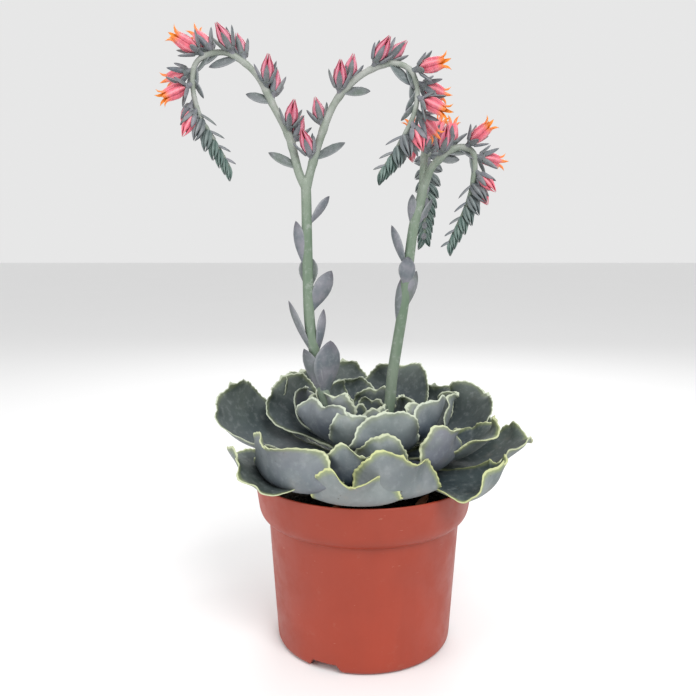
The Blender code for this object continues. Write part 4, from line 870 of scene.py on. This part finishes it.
def crumbs(count, rng):
    """Small lumps of compost: balls of six sides whose rings are scaled and tilted at random, laid on the soil."""
    r = np.sqrt(rng.uniform(0.018**2, 0.0560**2, count))
    angle = rng.uniform(0, math.tau, count)
    x, y = r * np.cos(angle), r * np.sin(angle)
    size = rng.uniform(0.0004, 0.0013, count)
    centre = np.stack([x, y, soil_level(x, y) + 0.2 * size], -1)
    axis = unit(rng.normal(size=(count, 3)))
    first = unit(np.cross(axis, rng.normal(size=(count, 3))))
    second = np.cross(axis, first)
    height = np.array([-0.7, 0.0, 0.7])
    wide = np.array([0.75, 1.0, 0.70])[None, :, None] * rng.uniform(0.65, 1.25, (count, 3, 6))
    turn = np.linspace(0, math.tau, 6, endpoint=False)
    flat = (first[:, None, None] * np.cos(turn)[:, None] + second[:, None, None] * np.sin(turn)[:, None])
    rings = centre[:, None, None] + size[:, None, None, None] * (
        flat * wide[..., None] + axis[:, None, None] * height[:, None, None] * 1.3)
    pole = size[:, None] * axis * 1.1
    return shells(rings, centre - pole, centre + pole)


def stalk_bracts(points, rows, rng):
    """The broad bracts of a stalk, from height, azimuth, length, width, lean from upright and own turn."""
    route = smooth_route(points, 0.011)[0]
    height, azimuth, length, width, lean, turn = np.array(rows, float).T
    k = np.argmin(np.abs(route[:, 2][None] - height[:, None] / 1000), 1)
    a, lean, turn = np.radians(azimuth), np.radians(lean)[:, None], np.radians(turn)[:, None]
    out = np.stack([np.cos(a), np.sin(a), 0 * a], 1)
    way = out * np.sin(lean) + np.array([0, 0, 1]) * np.cos(lean)
    face = np.cross(way, np.cross(-out, way))
    face = face * np.cos(turn) + np.cross(way, face) * np.sin(turn)
    outline = ((0.0, 0.06, 0.16, 0.30, 0.46, 0.60, 0.74, 0.86, 0.94, 0.98, 1.0),
               (0.30, 0.34, 0.48, 0.74, 0.95, 1.0, 0.90, 0.62, 0.34, 0.16, 0.0))
    return blades(route[k] + out * 0.0012, way, face, length / 1000, width / 1000, 0.0019, 0.22, outline, cup=0.22,
                  stations=26, around=20, tint=rng.uniform(0.0, 1.0, len(rows)))


def arm_bracts(arm, rng):
    """The bracts of an arm: a few broad ones on its inner side, a narrow one under each open flower and some buds."""
    frames = arm_frames(ARMS[arm])
    rows = [(d, 0.62, 0.78, length, 0.0064, 0.0015) for d, length in ARM_BRACTS[arm]]
    rows += [(d / 1000 - BRACT_DROP, 0.75, 0.60, 0.0115, 0.0034, 0.0012) for d, s in BLOOMS[arm] if s == "open"]
    distance, ahead, down, length, width, thick = np.array(rows).T
    place, along = at_distance(*frames, distance)
    out = unit(np.cross(along, unit(ARM_FACES[arm])))
    broad = ((0.0, 0.15, 0.40, 0.65, 0.84, 0.94, 1.0), (0.50, 0.72, 1.0, 0.96, 0.62, 0.32, 0.0))
    upper = blades(place, unit(ahead[:, None] * along - down[:, None] * out), out + BRACT_TURN * FRONT, length, width, thick, 0.24, broad,
                   cup=0.22, stations=18, around=14, tint=rng.uniform(0, 1, len(rows)))
    place, _, _, radius, young, out, along = arm_buds(arm)
    some = slice(0, None, 3)
    place, radius, out, along = place[some], radius[some], out[some], along[some]
    narrow = ((0.0, 0.25, 0.50, 0.75, 0.92, 1.0), (0.60, 0.90, 1.0, 0.66, 0.30, 0.0))
    lower = blades(place, unit(0.72 * along - 0.62 * out), out, 0.0105 * radius / BUD_RADIUS, 0.0032, 0.0012, 0.22,
                   narrow, cup=0.22, stations=12, around=10, tint=rng.uniform(0, 1, len(place)))
    return joined([upper, lower])


def stem_parts(points, arms):
    """A stalk and its arms: tubes whose radius tapers along them and swells a little where flowers leave."""
    route, run = smooth_route(points, 0.0025)
    parts = [tube(route, STALK_RADII[0] + (STALK_RADII[1] - STALK_RADII[0]) * run / run[-1], (0.0, 1.0, 0.0), 20)]
    for arm in arms:
        route, run = smooth_route(ARMS[arm], 0.0015)
        radii = ARM_RADII[0] + (ARM_RADII[1] - ARM_RADII[0]) * (run / run[-1]) ** 0.8
        knots = np.array([d for d, _ in BLOOMS[arm]]) / 1000
        swell = np.exp(-(((run[:, None] - knots) / 0.0018) ** 2)).sum(1)
        parts.append(tube(route, radii * (1 + 0.16 * swell), ARM_FACES[arm], 16))
    return joined(parts)


class PotSettings(bpy.types.PropertyGroup):
    """Looks of the pot and the soil."""

    colour: bpy.props.FloatVectorProperty(name="Pot colour", description="Colour of the moulded plastic",
                                          subtype="COLOR", min=0.0, max=1.0, default=(0.30, 0.034, 0.012))
    roughness: bpy.props.FloatProperty(name="Roughness", description="How dull the plastic is", min=0.1, max=1.0,
                                       default=0.42, subtype="FACTOR")
    crumbs: bpy.props.IntProperty(name="Crumbs", description="Number of loose crumbs on the soil", min=10, max=3000,
                                  default=1100)


class RosetteSettings(bpy.types.PropertyGroup):
    """Looks of the leaves."""

    frill: bpy.props.FloatProperty(name="Frill", description="Height of the fine waves along the leaf edges",
                                   default=0.0009, min=0.0, max=0.003, unit="LENGTH", subtype="DISTANCE")
    margin: bpy.props.FloatProperty(name="Margin", description="Width of the pale edge of the leaves",
                                    default=0.0007, min=0.0, max=0.003, unit="LENGTH", subtype="DISTANCE")
    bloom: bpy.props.FloatProperty(name="Bloom", description="Amount of pale waxy bloom", default=0.5, min=0.0,
                                   max=1.0, subtype="FACTOR")


class FlowerSettings(bpy.types.PropertyGroup):
    """Looks of the flowers."""

    petal_colour: bpy.props.FloatVectorProperty(name="Petal colour", description="Colour of the petals",
                                                subtype="COLOR", min=0.0, max=1.0, default=(0.74, 0.145, 0.200))


class StageSettings(bpy.types.PropertyGroup):
    """Floor and light."""

    floor_colour: bpy.props.FloatVectorProperty(name="Floor colour", description="Colour of the studio floor",
                                                subtype="COLOR", min=0.0, max=1.0, default=(0.86, 0.86, 0.86))
    light: bpy.props.FloatProperty(name="Light", description="Strength of the studio lights", default=1.0, min=0.0,
                                   max=5.0)


class AddPot(bpy.types.Operator):
    """Add the moulded pot"""

    bl_idname = "echeveria.add_pot"
    bl_label = "Pot"

    def execute(self, context):
        """Makes the pot from its turned profile."""
        add_piece("pot_shell", pot_surface(), pot_finish(context.scene.echeveria_pot), "terracotta_plastic", "pot")
        return {"FINISHED"}


class AddSoil(bpy.types.Operator):
    """Add the soil with its crumbs and dead leaf scraps"""

    bl_idname = "echeveria.add_soil"
    bl_label = "Soil"

    def execute(self, context):
        """Makes the fill, then the loose crumbs and the scraps that lie on it."""
        rng = np.random.default_rng(5)
        material = soil_finish()
        add_piece("soil_bed", soil_surface(), material, "soil", "soil")
        add_piece("soil_crumbs", crumbs(context.scene.echeveria_pot.crumbs, rng), material, "soil")
        angle = np.radians([-66, -74, -60, -112, 20, 150])
        place = np.stack([0.050 * np.cos(angle), 0.050 * np.sin(angle), np.full(6, 0.0872)], 1)
        way = unit(np.stack([-np.sin(angle), np.cos(angle), 0.15 * np.ones(6)], 1) + rng.normal(0, 0.25, (6, 3)))
        outline = ((0.0, 0.2, 0.5, 0.8, 1.0), (0.35, 0.85, 1.0, 0.70, 0.0))
        scraps = blades(place, way, (0.0, 0.0, 1.0) + rng.normal(0, 0.3, (6, 3)), rng.uniform(0.010, 0.016, 6),
                        rng.uniform(0.004, 0.008, 6), 0.0006, 0.8, outline, cup=0.5, stations=14, around=16)
        add_piece("dead_leaf_scraps", scraps, dry_finish(), "leaf")
        return {"FINISHED"}


class AddRosette(bpy.types.Operator):
    """Add the rosette of frilled leaves"""

    bl_idname = "echeveria.add_rosette"
    bl_label = "Rosette"

    def execute(self, context):
        """Makes each tier of leaves, the heart and the short stem."""
        settings = context.scene.echeveria_rosette
        material = leaf_finish(settings)
        number = 0
        for name, rows, base_z, columns in LEAF_GROUPS:
            parts = [leaf_shell(row, base_z, columns, number + k, settings) for k, row in enumerate(rows)]
            number += len(rows)
            add_piece(name, joined(parts), material, "leaf", "rosette")
        parts = []
        for k in range(HEART_LEAVES):
            inward = k / (HEART_LEAVES - 1)
            row = (HEART_START_DEG + k * HEART_TURN_DEG, 24 - 17 * inward, 135 - 4 * inward, 24 - 12 * inward, 84.0,
                   0.0, 0.0)
            parts.append(leaf_shell(row, 0.109 + 0.005 * inward, 40, number + k, settings))
        add_piece("leaves_heart", joined(parts), material, "leaf", "rosette")
        rings, root, tip = turned(((0.0, 0.0480), *STEM_PROFILE, (0.0, 0.1190)), 32, 0.02)
        add_piece("root_stem", shells(rings, root, tip), stem_finish(), "leaf", "rosette")
        return {"FINISHED"}


class AddStalks(bpy.types.Operator):
    """Add the flower stalks with bracts, sepals and green buds"""

    bl_idname = "echeveria.add_stalks"
    bl_label = "Stalks"

    def execute(self, context):
        """Makes the stems, then the bracts, the calyces and the buds of each stalk."""
        rng = np.random.default_rng(11)
        stem, bract, bud = stem_finish(), bract_finish(), bud_finish()
        for name, (points, rows, arms) in STALKS.items():
            node = f"stalk_{name}"
            add_piece(f"stem_{name}", stem_parts(points, arms), stem, "stalk", node)
            leaves = [stalk_bracts(points, rows, rng)] + [arm_bracts(arm, rng) for arm in arms]
            add_piece(f"bracts_{name}", joined(leaves), bract, "stalk", node)
            calyces, buds = [], []
            for arm in arms:
                root, base, way, stage = arm_flowers(arm)
                radius = np.array([STAGES[s][1] for s in stage])
                calyces += [seats(root, base - way * SEAT_GAP, way, radius), sepals(base, way, stage, rng)]
                place, way, length, radius, young, _, _ = arm_buds(arm)
                shape = ((0.0, 0.15, 0.45, 0.72, 0.90, 1.0), (0.42, 0.78, 1.0, 0.74, 0.34, 0.12))
                buds.append(lobed(place, way, length, radius, shape, keel=0.34, point=0.42, thick=0.0009, across=7,
                                  stations=12, young=young))
            add_piece(f"calyces_{name}", joined(calyces), bract, "stalk", node)
            add_piece(f"buds_{name}", joined(buds), bud, "stalk", node)
        return {"FINISHED"}


class AddFlowers(bpy.types.Operator):
    """Add the pink corollas"""

    bl_idname = "echeveria.add_flowers"
    bl_label = "Flowers"

    def execute(self, context):
        """Makes the five petals of every flower, one piece for each arm."""
        material = petal_finish(context.scene.echeveria_flowers)
        for arm in ARMS:
            _, base, way, stage = arm_flowers(arm)
            parts = []
            for name, (length, radius, *_) in STAGES.items():
                some = stage == name
                opened = {"spent": 0.0, "bud": 0.45, "open": 1.0}[name]
                parts.append(lobed(base[some], way[some], length, radius, CORONA[name],
                                   point=0.66 if name == "open" else 0.5, opened=opened))
            nodes = [f"bloom_{arm}{k + 1:02d}" for k in range(len(stage))]
            add_piece(f"petals_{arm}", joined(parts), material, "petal", *nodes)
        return {"FINISHED"}


class AddStage(bpy.types.Operator):
    """Add the floor, the lights and the camera"""

    bl_idname = "echeveria.add_stage"
    bl_label = "Stage"

    def execute(self, context):
        """Makes a pale floor, a soft sky, three soft lamps and the camera."""
        scene, settings = context.scene, context.scene.echeveria_stage
        mesh = bpy.data.meshes.new("studio_floor")
        wide = 9.0
        mesh.from_pydata([(-wide, -wide, 0), (wide, -wide, 0), (wide, wide, 0), (-wide, wide, 0)], [], [(0, 1, 2, 3)])
        mesh.materials.append(floor_finish(settings))
        floor = bpy.data.objects.new("studio_floor", mesh)
        scene.collection.objects.link(floor)
        world = bpy.data.worlds.new("studio_sky")
        world.use_nodes = True
        world.node_tree.nodes["Background"].inputs["Color"].default_value = (1.0, 1.0, 1.0, 1.0)
        world.node_tree.nodes["Background"].inputs["Strength"].default_value = 0.80 * settings.light
        scene.world = world
        lamps = (("key", (0.35, -0.75, 0.95), 0.55, 9.0), ("fill", (-0.85, -0.50, 0.45), 0.60, 3.0),
                 ("back", (0.10, 0.80, 0.75), 0.60, 3.0))
        for name, place, size, power in lamps:
            lamp = bpy.data.lights.new(f"soft_{name}", "AREA")
            lamp.size = size
            lamp.energy = power * settings.light
            holder = bpy.data.objects.new(f"soft_{name}", lamp)
            holder.location = place
            away = np.array(place) - (0.0, 0.0, 0.16)
            holder.rotation_euler = (math.atan2(math.hypot(away[0], away[1]), away[2]), 0,
                                     math.atan2(away[0], -away[1]))
            scene.collection.objects.link(holder)
        camera = bpy.data.objects.new("studio_camera", bpy.data.cameras.new("studio_camera"))
        camera.location = CAMERA_PLACE
        camera.rotation_euler = (math.radians(90 - CAMERA_PITCH_DEG), 0, 0)
        camera.data.lens = CAMERA_LENS
        camera.data.clip_start = 0.01
        scene.collection.objects.link(camera)
        scene.camera = camera
        scene.view_settings.view_transform = "Standard"
        return {"FINISHED"}


STEPS = (AddStage, AddPot, AddSoil, AddRosette, AddStalks, AddFlowers)
GROUPS = {"echeveria_pot": PotSettings, "echeveria_rosette": RosetteSettings, "echeveria_flowers": FlowerSettings,
          "echeveria_stage": StageSettings}


class EcheveriaPanel(bpy.types.Panel):
    """The sizes, the colours and a button for each step"""

    bl_idname = "VIEW3D_PT_echeveria"
    bl_label = "Echeveria"
    bl_space_type = "VIEW_3D"
    bl_region_type = "UI"
    bl_category = "Echeveria"

    def draw(self, context):
        """Lists the settings, then the steps."""
        for name, group in GROUPS.items():
            box = self.layout.box()
            for key in group.__annotations__:
                box.prop(getattr(context.scene, name), key)
        for step in STEPS:
            self.layout.operator(step.bl_idname)


def register():
    """Registers the settings, the steps and the panel."""
    for group in GROUPS.values():
        bpy.utils.register_class(group)
    for name, group in GROUPS.items():
        setattr(bpy.types.Scene, name, bpy.props.PointerProperty(type=group))
    for step in (*STEPS, EcheveriaPanel):
        bpy.utils.register_class(step)


def unregister():
    """Removes the panel, the steps and the settings."""
    for step in (EcheveriaPanel, *reversed(STEPS)):
        bpy.utils.unregister_class(step)
    for name in GROUPS:
        delattr(bpy.types.Scene, name)
    for group in GROUPS.values():
        bpy.utils.unregister_class(group)


def main():
    """Builds everything."""
    register()
    for step in STEPS:
        group, name = step.bl_idname.split(".")
        getattr(getattr(bpy.ops, group), name)()


if __name__ == "__main__":
    main()
